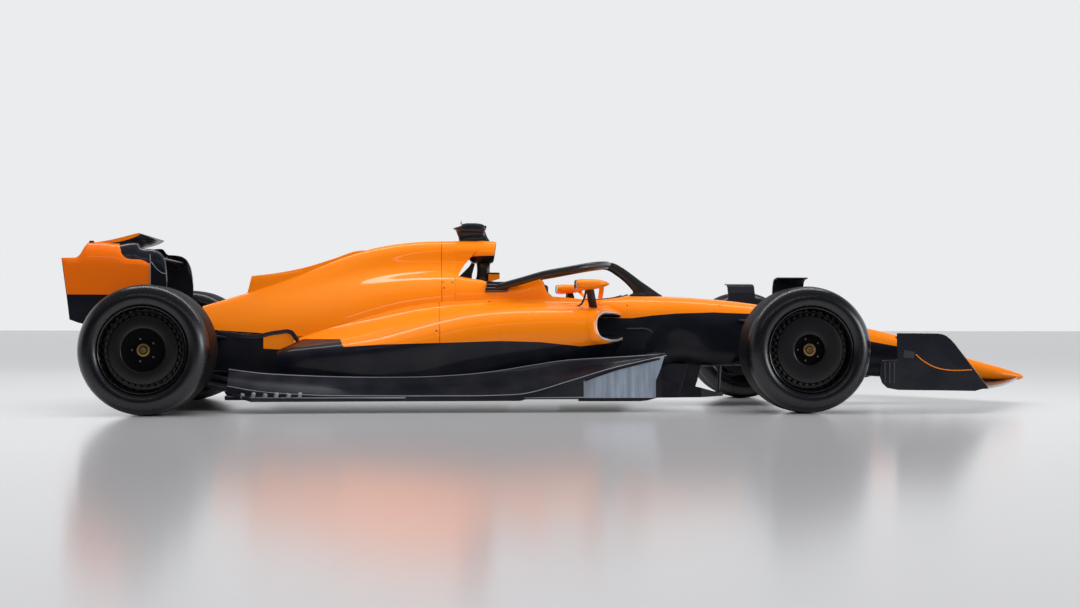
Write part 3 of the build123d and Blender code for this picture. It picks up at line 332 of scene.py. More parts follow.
def weave_group():
    """Twill weave: bundles of fibre that pass over two and under two, one step on in each row."""
    tree, n, start, end = new_group(
        "fibre_weave", [("Place", "Vector", None), ("Bundle", "Float", 0.003)],
        [("Height", "Float"), ("Sheen", "Float")],
    )
    scaled = n.add("ShaderNodeVectorMath", {"operation": "DIVIDE"}, in0=start.outputs["Place"],
                   in1=start.outputs["Bundle"])
    parts = n.add("ShaderNodeSeparateXYZ", in0=scaled.outputs[0])
    across, up = parts.outputs["X"], n.math("ADD", parts.outputs["Z"], parts.outputs["Y"])
    step = n.math("ADD", n.math("FLOOR", across), n.math("FLOOR", up))
    over = n.math("LESS_THAN", n.math("FLOORED_MODULO", step, 4.0), 2.0)
    warp = n.math("ABSOLUTE", n.math("SINE", n.math("MULTIPLY", across, math.pi)))
    weft = n.math("ABSOLUTE", n.math("SINE", n.math("MULTIPLY", up, math.pi)))
    under = n.math("MULTIPLY", n.math("SUBTRACT", 1.0, over), weft)
    n.join(end.inputs["Height"], n.math("ADD", n.math("MULTIPLY", over, warp), under))
    n.join(end.inputs["Sheen"], over)
    return tree


def dust_group():
    """Soft patches of dust, more of them low on the car."""
    tree, n, start, end = new_group(
        "fine_dust", [("Place", "Vector", None), ("Size", "Float", 6.0), ("Amount", "Float", 0.3)],
        [("Mask", "Float")],
    )
    noise = n.add("ShaderNodeTexNoise", Vector=start.outputs["Place"], Scale=start.outputs["Size"],
                  Detail=6.0)
    parts = n.add("ShaderNodeSeparateXYZ", in0=start.outputs["Place"])
    low = n.math("SUBTRACT", 1.0, n.math("MULTIPLY", parts.outputs["Z"], 1.2), clamp=True)
    patch = n.math("MULTIPLY", n.math("SUBTRACT", noise.outputs["Fac"], 0.42), 4.0, clamp=True)
    both = n.math("MULTIPLY", n.math("MULTIPLY", patch, n.math("ADD", low, 0.25)), start.outputs["Amount"])
    n.join(end.inputs["Mask"], both)
    return tree


KNOTS = 12
LINE_CRISPNESS = 1200.0  # the line's edge is 1 / 1200 m wide


def split_group():
    """Paint line: 1 above a line that runs through knots of x and z, and 0 below it."""
    sockets = [("Place", "Vector", None)]
    for i in range(KNOTS):
        sockets += [(f"X{i}", "Float", float(i)), (f"Z{i}", "Float", 0.5)]
    tree, n, start, end = new_group("paint_line", sockets, [("Above", "Float"), ("Distance", "Float")])
    parts = n.add("ShaderNodeSeparateXYZ", in0=start.outputs["Place"])
    height = start.outputs["Z0"]
    for i in range(KNOTS - 1):
        rise = n.math("SUBTRACT", start.outputs[f"Z{i + 1}"], start.outputs[f"Z{i}"])
        span = n.add("ShaderNodeMapRange", {"interpolation_type": "LINEAR", "clamp": True},
                     Value=parts.outputs["X"], From_Min=start.outputs[f"X{i}"],
                     From_Max=start.outputs[f"X{i + 1}"])
        height = n.math("ADD", height, n.math("MULTIPLY", span.outputs["Result"], rise))
    distance = n.math("SUBTRACT", parts.outputs["Z"], height)
    n.join(end.inputs["Distance"], distance)
    n.join(end.inputs["Above"], n.math("MULTIPLY_ADD", distance, LINE_CRISPNESS, 0.5, clamp=True))
    return tree


def seam_group():
    """Thin shut line between two panels, across the car at one x, between two heights."""
    tree, n, start, end = new_group(
        "panel_seam",
        [("Place", "Vector", None), ("X", "Float", 0.0), ("Width", "Float", 0.0016),
         ("Low", "Float", -1.0), ("High", "Float", 2.0)],
        [("Line", "Float")],
    )
    parts = n.add("ShaderNodeSeparateXYZ", in0=start.outputs["Place"])
    away = n.math("ABSOLUTE", n.math("SUBTRACT", parts.outputs["X"], start.outputs["X"]))
    line = n.math("LESS_THAN", away, start.outputs["Width"])
    inside = n.math("MULTIPLY", n.math("GREATER_THAN", parts.outputs["Z"], start.outputs["Low"]),
                    n.math("LESS_THAN", parts.outputs["Z"], start.outputs["High"]))
    n.join(end.inputs["Line"], n.math("MULTIPLY", line, inside))
    return tree


WEAVE, DUST, PAINT_LINE, SEAM = weave_group(), dust_group(), split_group(), seam_group()
print("groups:", [g.name for g in (WEAVE, DUST, PAINT_LINE, SEAM)])

# %% [markdown]
# ## Materials
# The paint is a bright orange under a clear coat. Its two-tone split is a line on the body, so it is
# made from the place of each point and stays crisp at any distance. Bare carbon is nearly
# black, a little blue, with a satin clear coat over the weave.

# %% Paint, carbon and the other finishes
ORANGE = (0.97, 0.235, 0.001, 1)
BLACK = (0.0065, 0.0075, 0.0125, 1)
DUST_COLOUR, DUST_SIZE = (0.35, 0.32, 0.28, 1), 6.0
FIBRE_BUNDLE = 0.0025


def new_material(name, colour, roughness, metallic=0.0, coat=0.0, coat_roughness=0.05, specular=0.5):
    """Material with one Principled shader, its constants set on the shader itself."""
    material = bpy.data.materials.new(name)
    material.use_nodes = True
    material.node_tree.nodes.clear()
    n = Nodes(material.node_tree)
    shader = n.add("ShaderNodeBsdfPrincipled")
    n.add("ShaderNodeOutputMaterial", in0=shader.outputs[0])
    for key, value in (("Base Color", colour), ("Roughness", roughness), ("Metallic", metallic),
                       ("Coat Weight", coat), ("Coat Roughness", coat_roughness),
                       ("Specular IOR Level", specular)):
        shader.inputs[key].default_value = value
    place = n.add("ShaderNodeTexCoord").outputs["Object"]
    return material, n, shader, place


def faded(colour, share):
    """A darker shade of a colour."""
    return tuple(share * v for v in colour[:3]) + (1,)


def dusty(n, place, colour, amount):
    """Colour with the dust group's patches over it, and their mask."""
    group = n.add("ShaderNodeGroup", {"node_tree": DUST}, Place=place, Size=DUST_SIZE, Amount=amount)
    mask = group.outputs["Mask"]
    return n.mix(mask, colour, DUST_COLOUR), mask


def bumped(n, shader, height, distance, strength):
    """Bump from a height that feeds the shader's normal."""
    bump = n.add("ShaderNodeBump", Height=height, Distance=distance, Strength=strength)
    n.join(shader.inputs["Normal"], bump.outputs[0])


def paint_material(name, line=None, seams=(), top=ORANGE):
    """Clear coated paint, black under a line of (x, z) knots, with dark seams at (x, low z, high z)."""
    material, n, shader, place = new_material(name, top, 0.5, coat=0.55, coat_roughness=0.07, specular=0.1)
    tint = n.add("ShaderNodeTexNoise", Vector=place, Scale=1.6, Detail=3.0)
    colour = n.mix(n.math("MULTIPLY", tint.outputs["Fac"], 0.12), top, faded(top, 0.8))
    if line:
        end_x, end_z = line[-1]
        knots = line + [(end_x + 50 * (i + 1), end_z) for i in range(KNOTS - len(line))]
        group = n.add("ShaderNodeGroup", {"node_tree": PAINT_LINE}, Place=place)
        for i, (x, z) in enumerate(knots):
            group.inputs[f"X{i}"].default_value = (x - ORIGIN_X) / 1000
            group.inputs[f"Z{i}"].default_value = z / 1000
        above = group.outputs["Above"]
        colour = n.mix(above, BLACK, colour)
        n.join(shader.inputs["Roughness"], n.math("MULTIPLY_ADD", above, 0.02, 0.4))
        n.join(shader.inputs["Coat Weight"], n.math("MULTIPLY_ADD", above, 0.1, 0.3))
    colour, _ = dusty(n, place, colour, 0.02)
    peel = n.add("ShaderNodeTexNoise", Vector=place, Scale=900.0, Detail=2.0)
    height = n.math("MULTIPLY", peel.outputs["Fac"], 0.04)
    for x, low, high in seams:
        seam = n.add("ShaderNodeGroup", {"node_tree": SEAM}, Place=place, X=(x - ORIGIN_X) / 1000,
                     Low=low / 1000, High=high / 1000)
        colour = n.mix(n.math("MULTIPLY", seam.outputs["Line"], 0.85), colour, (0.02, 0.01, 0.008, 1))
        height = n.math("SUBTRACT", height, seam.outputs["Line"])
    n.join(shader.inputs["Base Color"], colour)
    bumped(n, shader, height, 0.0005, 0.5)
    return material


def carbon_material(name, colour=BLACK, roughness=0.36, coat=0.3, dust=0.03):
    """Bare carbon: the weave shows as a faint change of sheen under the clear coat."""
    material, n, shader, place = new_material(name, colour, roughness, coat=coat, coat_roughness=0.12,
                                              specular=0.25)
    weave = n.add("ShaderNodeGroup", {"node_tree": WEAVE}, Place=place, Bundle=FIBRE_BUNDLE)
    light = tuple(min(1, 1.9 * v + 0.003) for v in colour[:3]) + (1,)
    shade = n.mix(n.math("MULTIPLY", weave.outputs["Sheen"], 0.5), colour, light)
    shade, mask = dusty(n, place, shade, dust)
    n.join(shader.inputs["Base Color"], shade)
    rough = n.math("MULTIPLY_ADD", weave.outputs["Sheen"], 0.07, roughness)
    n.join(shader.inputs["Roughness"], n.math("ADD", rough, n.math("MULTIPLY", mask, 0.4)))
    bumped(n, shader, weave.outputs["Height"], 0.0001, 0.35)
    return material


def grain_material(name, colour, roughness, size, depth, metallic=0.0, coat=0.0, specular=0.5, dust=0.1,
                   other=None):
    """Plain finish with a fine grain: rubber, foam, cast or machined metal."""
    material, n, shader, place = new_material(name, colour, roughness, metallic, coat, 0.08, specular)
    grain = n.add("ShaderNodeTexNoise", Vector=place, Scale=size, Detail=5.0)
    shade = n.mix(grain.outputs["Fac"], colour, other or faded(colour, 0.75))
    shade, mask = dusty(n, place, shade, dust)
    n.join(shader.inputs["Base Color"], shade)
    rough = n.math("MULTIPLY_ADD", grain.outputs["Fac"], 0.12, roughness - 0.06)
    n.join(shader.inputs["Roughness"], n.math("ADD", rough, n.math("MULTIPLY", mask, 0.3)))
    bumped(n, shader, grain.outputs["Fac"], depth, 0.6)
    return material


TUB_LINE = [(905, 525), (1020, 540), (1174, 553), (1404, 560), (1636, 552), (2372, 389), (2700, 330),
            (3050, 100)]
POD_LINE = [(-1220, 348), (-1125, 346), (-1057, 384), (-1012, 402), (-786, 404), (-763, 362), (-544, 376),
            (113, 396), (329, 390), (560, 366), (700, 380), (800, 395)]
PLATE_LINE = [(-2400, 653), (-1853, 653), (-1850, 1200), (-1700, 1200)]
SEAM_X = -212.0
PAINT = paint_material("orange_paint")
TUB_PAINT = paint_material("tub_paint", TUB_LINE, [(2150, 0, 900)])
COVER_PAINT = paint_material("cover_paint", None, [(SEAM_X, 0, 2000)])
POD_PAINT = paint_material("sidepod_paint", POD_LINE, [(SEAM_X - 16, 0, 2000)])
INTAKE_LINE = [(-200, 700), (-43, 840), (-41, 886), (-20, 893), (20, 896), (130, 898)]
INTAKE_PAINT = paint_material("intake_paint", INTAKE_LINE)
# The rear wing's plates get a darker, redder copy of the orange: painted shade, the body's paint as it looks
# in shade.
SHADED_PLATE_PAINT = paint_material("wing_plate_paint_painted_shade", PLATE_LINE, top=(0.88, 0.155, 0.001, 1))
CARBON = carbon_material("carbon")
GLOSS_CARBON = carbon_material("gloss_carbon", roughness=0.26, coat=0.5, dust=0.02)
HALO_BLACK = grain_material("halo_black", (0.011, 0.0105, 0.012, 1), 0.34, 700, 0.0001, coat=0.25, dust=0.02)
RUBBER = grain_material("tyre_rubber", (0.0028, 0.0032, 0.0052, 1), 0.27, 260, 0.0002, specular=0.65,
                        dust=0.0)
TREAD = grain_material("tyre_tread", (0.003, 0.0031, 0.0042, 1), 0.58, 200, 0.0003, specular=0.18, dust=0.0)
RIM_BLACK = grain_material("rim_black", (0.003, 0.003, 0.0035, 1), 0.16, 500, 0.00005, coat=0.6, dust=0.0)
COVER_BLACK = grain_material("wheel_cover", (0.0045, 0.0045, 0.0055, 1), 0.36, 420, 0.00008, coat=0.2,
                             specular=0.35, dust=0.0)
GOLD = grain_material("gold_anodised", (0.55, 0.36, 0.13, 1), 0.3, 300, 0.0001, metallic=1.0)
# A pale, half metal grey: painted highlight for the rolled lip round each sidepod's mouth.
PAINTED_LIP_HIGHLIGHT = grain_material("silver_edge", (0.6, 0.61, 0.64, 1), 0.28, 300, 0.0001, metallic=0.4, coat=0.5,
                        dust=0.0)
SCREW_BLACK = grain_material("blackened_steel", (0.02, 0.018, 0.018, 1), 0.4, 300, 0.0001, metallic=0.6)
# Pale grey for small trims and parts, and for thin strips painted along edges as highlights and reflections.
PALE_TRIM_AND_HIGHLIGHTS = grain_material("pale_trim", (0.3, 0.31, 0.34, 1), 0.35, 300, 0.0001, coat=0.4, dust=0.05)
STEEL = grain_material("machined_steel", (0.4, 0.4, 0.41, 1), 0.32, 300, 0.0001, metallic=1.0)
CAST = grain_material("cast_metal", (0.3, 0.3, 0.31, 1), 0.5, 120, 0.0004, metallic=0.9, dust=0.3)
LENS = grain_material("red_lens", (0.35, 0.005, 0.005, 1), 0.15, 90, 0.0002, coat=1.0)
GLASS = grain_material("mirror_glass", (0.75, 0.77, 0.8, 1), 0.04, 40, 0.00001, metallic=1.0, dust=0.0)
FOAM = grain_material("pad_cover", (0.022, 0.022, 0.024, 1), 0.75, 1200, 0.0003, dust=0.1)
BOARD = grain_material("skid_board", (0.23, 0.17, 0.11, 1), 0.6, 60, 0.0004, other=(0.12, 0.09, 0.06, 1),
                       dust=0.5)
LENS_GLASS = grain_material("lens_glass", (0.01, 0.012, 0.02, 1), 0.06, 50, 0.00001, coat=1.0, dust=0.0)
GREY_CARBON = carbon_material("grey_carbon", (0.028, 0.029, 0.033, 1), 0.4)


def streaked_material(name, colour, dark, roughness):
    """Brushed panel: streaks that run up the panel, as its machined face shows."""
    material, n, shader, place = new_material(name, colour, roughness, coat=0.4, coat_roughness=0.1,
                                              specular=0.3)
    stretch = n.add("ShaderNodeMapping", Vector=place, Scale=(26.0, 26.0, 2.2))
    streaks = n.add("ShaderNodeTexNoise", Vector=stretch.outputs[0], Scale=1.0, Detail=5.0, Roughness=0.6)
    patches = n.add("ShaderNodeTexNoise", Vector=place, Scale=7.0, Detail=3.0)
    share = n.math("MULTIPLY_ADD", n.math("SUBTRACT", streaks.outputs["Fac"], 0.42), 3.2, 0.1, clamp=True)
    share = n.math("MULTIPLY", share, n.math("MULTIPLY_ADD", patches.outputs["Fac"], 1.4, 0.1, clamp=True))
    shade, _ = dusty(n, place, n.mix(share, dark, colour), 0.08)
    n.join(shader.inputs["Base Color"], shade)
    n.join(shader.inputs["Roughness"], n.math("MULTIPLY_ADD", share, 0.15, roughness))
    bumped(n, shader, streaks.outputs["Fac"], 0.0004, 0.3)
    return material


PALE_CARBON = streaked_material("brushed_panel", (0.36, 0.43, 0.53, 1), (0.2, 0.235, 0.29, 1), 0.3)
HOT_METAL = grain_material("heat_blued_steel", (0.3, 0.24, 0.2, 1), 0.35, 30, 0.0002, metallic=1.0,
                           other=(0.16, 0.16, 0.24, 1))
# Near black, dull and free of dust: painted shade for the insides of the ducts and the wheels' hub recesses.
PAINTED_SHADE_BLACK = grain_material("duct_black", (0.002, 0.002, 0.0025, 1), 0.8, 200, 0.0001, specular=0.1, dust=0.0)
print("materials:", len(bpy.data.materials))

# %% [markdown]
# ## Dressing the CAD nodes that stay
# Flat and hidden pieces have the right shape already, such as the floor, the plank, the gearbox and
# the suspension arms. They stay, and only get a finish.

# %% Finishes for the CAD nodes
SLOT_FINISH = {
    "orange_paint": PAINT, "carbon": CARBON, "halo_black": HALO_BLACK, "tyre": RUBBER, "rim_black": RIM_BLACK,
    "bare_metal": STEEL, "cast_metal": CAST, "red_lens": LENS, "pad": FOAM, "skid_board": BOARD,
}
for part in frame["record"]["subparts"]:
    node = frame["nodes"][part["node"]]
    node.data.materials.clear()
    node.data.materials.append(SLOT_FINISH[part["material_slot"]])

# %% [markdown]
# ## Nose and tub
# The tub is one long shell from the nose's bulkhead to the engine. Its sections have the same
# number of points all the way, also where the cockpit is open: there the last points go down inside,
# along the cockpit's wall and floor. That makes the rim one smooth roll from outside to inside.

# %% Tub and nose sections
TUB = [  # x, then (y, z) from the keel round the flank to the crown, or down into the cockpit
    (-112, [(0, 83), (240, 83), (335, 200), (348, 380), (346, 540), (341, 610), (314, 702), (262, 757),
            (200, 770), (130, 771), (60, 771), (0, 771)]),
    (28, [(0, 83), (240, 83), (335, 200), (348, 380), (346, 540), (341, 610), (318, 695), (286, 738),
          (225, 747), (140, 747), (70, 747), (0, 747)]),
    (44, [(0, 83), (240, 83), (335, 200), (348, 380), (346, 540), (341, 610), (318, 694), (291, 736),
          (266, 737), (236, 600), (225, 160), (0, 125)]),
    (216, [(0, 83), (240, 83), (336, 200), (348, 380), (347, 540), (340, 612), (322, 690), (300, 727),
           (274, 724), (236, 600), (225, 160), (0, 125)]),
    (300, [(0, 83), (240, 83), (337, 200), (348, 380), (347, 540), (340, 612), (323, 700), (303, 745),
           (278, 742), (236, 600), (225, 160), (0, 125)]),
    (350, [(0, 83), (240, 83), (338, 200), (348, 380), (348, 540), (340, 612), (323, 705), (304, 756),
           (280, 752), (236, 600), (225, 160), (0, 125)]),
    (374, [(0, 83), (240, 83), (338, 200), (348, 380), (348, 540), (340, 608), (325, 692), (306, 741),
           (282, 737), (236, 600), (225, 160), (0, 125)]),
    (404, [(0, 83), (240, 83), (338, 200), (348, 380), (348, 540), (340, 600), (329, 645), (310, 677),
           (286, 672), (236, 590), (225, 160), (0, 125)]),
    (450, [(0, 83), (240, 83), (338, 200), (348, 380), (348, 535), (341, 590), (331, 618), (312, 637),
           (284, 633), (236, 580), (225, 160), (0, 125)]),
    (510, [(0, 83), (240, 83), (338, 200), (347, 380), (347, 535), (340, 586), (330, 610), (306, 629),
           (272, 626), (236, 575), (225, 160), (0, 125)]),
    (640, [(0, 83), (240, 83), (334, 200), (344, 380), (343, 530), (335, 583), (320, 609), (288, 629),
           (250, 627), (234, 570), (215, 160), (0, 125)]),
    (780, [(0, 83), (222, 83), (320, 205), (335, 380), (333, 520), (318, 580), (290, 618), (245, 639),
           (205, 637), (197, 560), (180, 170), (0, 125)]),
    (866, [(0, 83), (210, 83), (310, 210), (327, 385), (323, 515), (306, 578), (268, 622), (200, 649),
           (140, 649), (140, 560), (150, 180), (0, 130)]),
    (900, [(0, 83), (204, 83), (304, 215), (322, 388), (318, 515), (301, 576), (258, 625), (184, 652),
           (84, 655), (84, 590), (120, 200), (0, 140)]),
    (912, [(0, 83), (202, 83), (302, 218), (320, 388), (316, 515), (299, 576), (255, 626), (181, 652),
           (130, 656), (86, 657), (42, 658), (0, 658)]),
    (950, [(0, 86), (198, 88), (297, 225), (314, 390), (312, 512), (295, 575), (250, 626), (178, 652),
           (130, 656), (86, 657), (42, 658), (0, 658)]),
    (1040, [(0, 150), (188, 160), (272, 270), (294, 400), (300, 508), (285, 572), (243, 623), (175, 650),
            (130, 655), (86, 657), (42, 658), (0, 658)]),
    (1116, [(0, 228), (178, 236), (245, 302), (274, 405), (286, 502), (273, 568), (236, 620), (172, 647),
            (128, 653), (85, 656), (42, 658), (0, 658)]),
    (1400, [(0, 243), (158, 245), (222, 300), (246, 400), (256, 488), (245, 552), (214, 602), (156, 630),
            (116, 638), (76, 642), (38, 643), (0, 643)]),
    (1736, [(0, 243), (130, 243), (188, 296), (203, 376), (207, 452), (200, 518), (174, 567), (128, 594),
            (95, 601), (62, 604), (30, 605), (0, 605)]),
    (2150, [(0, 198), (110, 198), (150, 243), (164, 316), (167, 382), (160, 438), (140, 481), (105, 506),
            (78, 513), (52, 516), (26, 517), (0, 517)]),
    (2607, [(0, 170), (95, 170), (128, 200), (140, 252), (142, 304), (136, 348), (120, 384), (90, 407),
            (68, 414), (45, 417), (22, 418), (0, 418)]),
    (3070, [(0, 150), (80, 150), (106, 165), (114, 188), (116, 212), (112, 233), (100, 251), (78, 264),
            (58, 269), (38, 271), (20, 272), (0, 272)]),
    (3300, [(0, 147), (64, 147), (84, 154), (91, 165), (92, 176), (88, 187), (80, 196), (64, 203),
            (48, 206), (32, 208), (16, 209), (0, 209)]),
    (3372, [(0, 153), (46, 153), (60, 156), (65, 161), (66, 167), (63, 173), (56, 178), (44, 181),
            (33, 182), (22, 183), (11, 183), (0, 183)]),
    (3389, [(0, 160), (30, 160), (40, 162), (44, 165), (44, 168), (42, 170), (37, 172), (29, 173),
            (22, 174), (14, 174), (7, 174), (0, 174)]),
]
BULKHEAD_ROW = [x for x, _ in TUB].index(2150)
OPEN_FROM, OPEN_TO = 1, 14  # the sections between which the cockpit is open
ALONG, AROUND = 8, 6  # steps from section to section, and from point to point round them
tub_grid = surface_grid(sections_at(TUB), ALONG, AROUND, sharp_sections=(OPEN_FROM, 2, 13, OPEN_TO),
                        sharp_points=(9, 10))
print("tub grid", tub_grid.shape)

# %% Tub and nose pieces
bm = bmesh.new()
tub_part = tub_grid[: BULKHEAD_ROW * ALONG + 1]
add_grid(
    bm, tub_part, mirrored=True,
    material=lambda row, column: int(OPEN_FROM * ALONG <= row < OPEN_TO * ALONG and column >= 8.5 * AROUND),
)
tub_piece = add_piece("tub_shell", bm, [TUB_PAINT, CARBON],
                      replaces=["monocoque", "cockpit_surround"])
bm = bmesh.new()
nose_part = tub_grid[BULKHEAD_ROW * ALONG :]
add_grid(bm, nose_part, mirrored=True)
tip = nose_part[-1]
left, right = metres(tip), metres(tip * np.array([1, -1, 1]))
bm.faces.new([bm.verts.new(p) for p in list(left) + list(right[::-1][1:-1])])
nose_piece = add_piece("nose_shell", bm, TUB_PAINT, replaces=["nose_cone"])
print("tub faces", len(tub_piece.data.polygons), "nose faces", len(nose_piece.data.polygons))

# %% [markdown]
# ## Engine cover
# Behind the cockpit the cover wraps the engine. Its sections have a wide waist, a shoulder that
# catches the light and a narrow spine, which falls away towards the gearbox. The fin is a thin
# plate that grows out of the spine.

# %% Engine cover and fin
FRONT_RING = [(350, 385), (349, 500), (341, 610), (314, 702), (262, 757), (195, 786), (144, 816), (123, 858),
              (119, 900), (114, 938), (88, 971), (45, 987), (0, 989)]
FRONT_EDGE_X = [-112, -112, -112, -112, -112, -108, -92, -64, -26, 0, 0, 0, 0]
COVER = [  # x, then (y, z) from the waist up to the spine
    (-135, FRONT_RING),
    (-300, [(348, 385), (346, 500), (336, 605), (306, 695), (250, 752), (186, 785), (138, 818), (117, 858),
            (111, 900), (104, 938), (80, 970), (42, 986), (0, 988)]),
    (-500, [(342, 385), (338, 495), (324, 595), (288, 682), (230, 739), (170, 774), (126, 808), (106, 846),
            (97, 884), (86, 920), (62, 950), (32, 966), (0, 970)]),
    (-706, [(325, 392), (318, 485), (296, 575), (250, 652), (196, 706), (148, 742), (114, 774), (93, 806),
            (77, 838), (60, 870), (40, 900), (20, 918), (0, 924)]),
    (-879, [(290, 400), (280, 475), (252, 550), (206, 618), (160, 670), (122, 708), (94, 738), (76, 766),
            (59, 793), (42, 820), (26, 842), (12, 854), (0, 858)]),
    (-1100, [(225, 424), (212, 470), (187, 525), (153, 578), (122, 620), (97, 650), (77, 675), (61, 697),
             (46, 717), (32, 736), (19, 751), (9, 760), (0, 764)]),
    (-1347, [(150, 440), (138, 475), (120, 515), (100, 553), (82, 586), (66, 610), (53, 629), (42, 645),
             (31, 657), (21, 667), (12, 674), (6, 678), (0, 679)]),
    (-1629, [(80, 458), (74, 478), (66, 498), (56, 520), (46, 539), (38, 554), (30, 567), (23, 577),
             (16, 585), (10, 590), (5, 593), (2, 594), (0, 594)]),
]
COVER_ALONG, COVER_AROUND, COVER_PASSES = 10, 7, 50
front_edge = [[(x, y, z) for x, (y, z) in zip(FRONT_EDGE_X, FRONT_RING)]]
bm = bmesh.new()
cover_grid = surface_grid(front_edge + sections_at(COVER), COVER_ALONG, COVER_AROUND)
cover_grid[COVER_ALONG:] = faired(cover_grid[COVER_ALONG:], COVER_PASSES)
add_grid(bm, cover_grid, mirrored=True)
FIN_TOP = [(-600, 930), (-706, 929), (-861, 879), (-1016, 830), (-1189, 794), (-1343, 774)]
FIN_FOOT = [(-600, 900), (-706, 880), (-861, 835), (-1016, 775), (-1189, 715), (-1372, 655)]
fin_top = smooth_rows([(x, 0, z) for x, z in FIN_TOP], 8)
fin_foot = smooth_rows([(x, 0, z) for x, z in FIN_FOOT], 8)
FIN_HALVES = [(0.0, 9.0), (0.5, 4.5), (0.97, 3.5), (1.0, 2.0)]  # share of the height, half thickness
fin_sides = []
for side in (1, -1):
    rows = [[(a[0] * (1 - s) + b[0] * s, side * half, a[2] * (1 - s) + b[2] * s)
             for a, b in zip(fin_foot, fin_top)] for s, half in FIN_HALVES]
    add_grid(bm, rows)
    fin_sides.append(rows)
top_half = FIN_HALVES[-1][1]
add_grid(bm, [[(p[0], y, p[2]) for p in fin_top] for y in (top_half, -top_half)])
add_grid(bm, [[row[-1] for row in rows] for rows in fin_sides])
cover_piece = add_piece("engine_cover_skin", bm, COVER_PAINT, replaces=["engine_cover"],
                        outward=False)
print("cover faces", len(cover_piece.data.polygons))

# %% [markdown]
# ## Sidepods
# A sidepod starts at a rounded lip round its mouth, sweeps back over the radiators and ends low in
# front of the rear tyre. Each ring of its table runs from the tub over the crown, out to the
# side and down to the floor. The rings before the lip go into the mouth, so that the lip rolls
# over in one surface, and the mouth leans back towards its outer side.

# %% Sidepod rings
POD_MOUTH = [  # rings of (x, y, z), which lean
    [(420, 330, 520), (420, 380, 524), (420, 440, 525), (420, 520, 525), (420, 580, 520), (420, 620, 500),
     (420, 640, 470), (420, 630, 450), (420, 590, 435), (420, 500, 428), (420, 400, 430)],
    [(760, 318, 528), (740, 380, 533), (720, 450, 536), (690, 550, 538), (655, 630, 530), (630, 680, 506),
     (628, 697, 470), (640, 690, 440), (680, 640, 420), (740, 550, 413), (790, 440, 422)],
    [(838, 312, 532), (815, 375, 538), (790, 440, 541), (735, 560, 543), (688, 640, 539), (652, 692, 513),
     (648, 709, 470), (666, 704, 433), (714, 652, 412), (774, 560, 407), (824, 440, 418)],
    [(846, 306, 542), (822, 372, 548), (797, 440, 551), (742, 562, 553), (694, 648, 550), (656, 704, 520),
     (651, 722, 470), (668, 717, 426), (716, 660, 402), (778, 560, 396), (832, 440, 407)],
    [(834, 304, 556), (810, 370, 562), (784, 440, 565), (730, 565, 567), (682, 656, 562), (640, 716, 528),
     (634, 734, 470), (652, 728, 416), (706, 668, 388), (772, 562, 382), (830, 440, 394)],
    [(780, 310, 590), (740, 372, 586), (712, 440, 584), (662, 565, 582), (625, 656, 573), (594, 718, 535),
     (588, 740, 470), (610, 732, 405), (660, 672, 368), (730, 570, 350), (790, 450, 330)],
    [(640, 322, 640), (610, 352, 606), (590, 440, 596), (560, 565, 590), (545, 656, 576), (530, 718, 538),
     (528, 740, 470), (545, 732, 400), (580, 680, 345), (620, 590, 280), (650, 480, 83)],
]
POD_BODY = [  # upright rings: x, then (y, z)
    (448, [(322, 650), (354, 610), (440, 598), (565, 592), (656, 575), (718, 535), (739, 468), (732, 400),
           (690, 335), (610, 260), (510, 83)]),
    (200, [(322, 660), (354, 608), (435, 596), (560, 590), (655, 574), (718, 530), (739, 465), (732, 396),
           (698, 332), (632, 256), (548, 83)]),
    (-42, [(322, 660), (352, 604), (425, 588), (550, 578), (648, 560), (713, 512), (736, 450), (732, 386),
           (708, 320), (655, 245), (590, 83)]),
    (-300, [(315, 650), (345, 590), (405, 560), (520, 534), (625, 500), (694, 456), (722, 404), (722, 352),
            (706, 298), (668, 220), (620, 83)]),
    (-544, [(300, 620), (328, 555), (380, 515), (480, 476), (580, 440), (656, 405), (698, 370), (706, 332),
            (696, 284), (664, 200), (620, 83)]),
    (-780, [(262, 560), (288, 500), (338, 462), (420, 434), (508, 410), (588, 388), (636, 362), (650, 325),
            (642, 276), (624, 190), (600, 83)]),
    (-990, [(205, 490), (228, 445), (275, 418), (348, 400), (425, 384), (500, 366), (555, 342), (574, 308),
            (570, 262), (556, 180), (540, 83)]),
    (-1110, [(176, 420), (205, 386), (250, 372), (312, 366), (378, 361), (440, 354), (488, 340), (512, 306),
             (510, 260), (500, 180), (488, 83)]),
    (-1146, [(172, 400), (200, 366), (246, 354), (308, 348), (372, 343), (434, 334), (478, 320), (498, 290),
             (496, 250), (484, 176), (472, 83)]),
]
POD_ALONG, POD_AROUND, POD_PASSES = 7, 6, 40
DUCT_ROWS, LIP_ROWS, FAIR_FROM = 17, 24, 35  # inside the mouth, round its lip, and where the sanding starts
pod_grid = surface_grid(POD_MOUTH + sections_at(POD_BODY), POD_ALONG, POD_AROUND)
pod_grid[FAIR_FROM:] = faired(pod_grid[FAIR_FROM:], POD_PASSES)
pod_pieces = []
for side, name in ((1, "left"), (-1, "right")):
    bm = bmesh.new()
    # Inside the mouth the duct is painted shade, near black.
    add_grid(
        bm, pod_grid * np.array([1, side, 1]), caps=(0,),
        material=lambda row, column: 1 if row < DUCT_ROWS else 2 if row < LIP_ROWS else 0,
    )
    # The lip round the mouth is painted highlight, a pale grey.
    piece = add_piece(f"sidepod_skin_{name}", bm, [POD_PAINT, PAINTED_SHADE_BLACK, PAINTED_LIP_HIGHLIGHT],
                      replaces=[f"sidepod_{name}"], outward=False)
    pod_pieces.append(piece)
print("sidepod faces", len(piece.data.polygons))

# %% [markdown]
# ## What repeats
# Teeth round a wheel cover and fasteners along a seam are one small shape, repeated. Geometry Nodes
# places them: one tree turns a shape round an axle, and the other stands a stud on each point
# of a list and turns it along the panel's own direction. Both give plain meshes at the end.

# %% Geometry Nodes for rings and studs


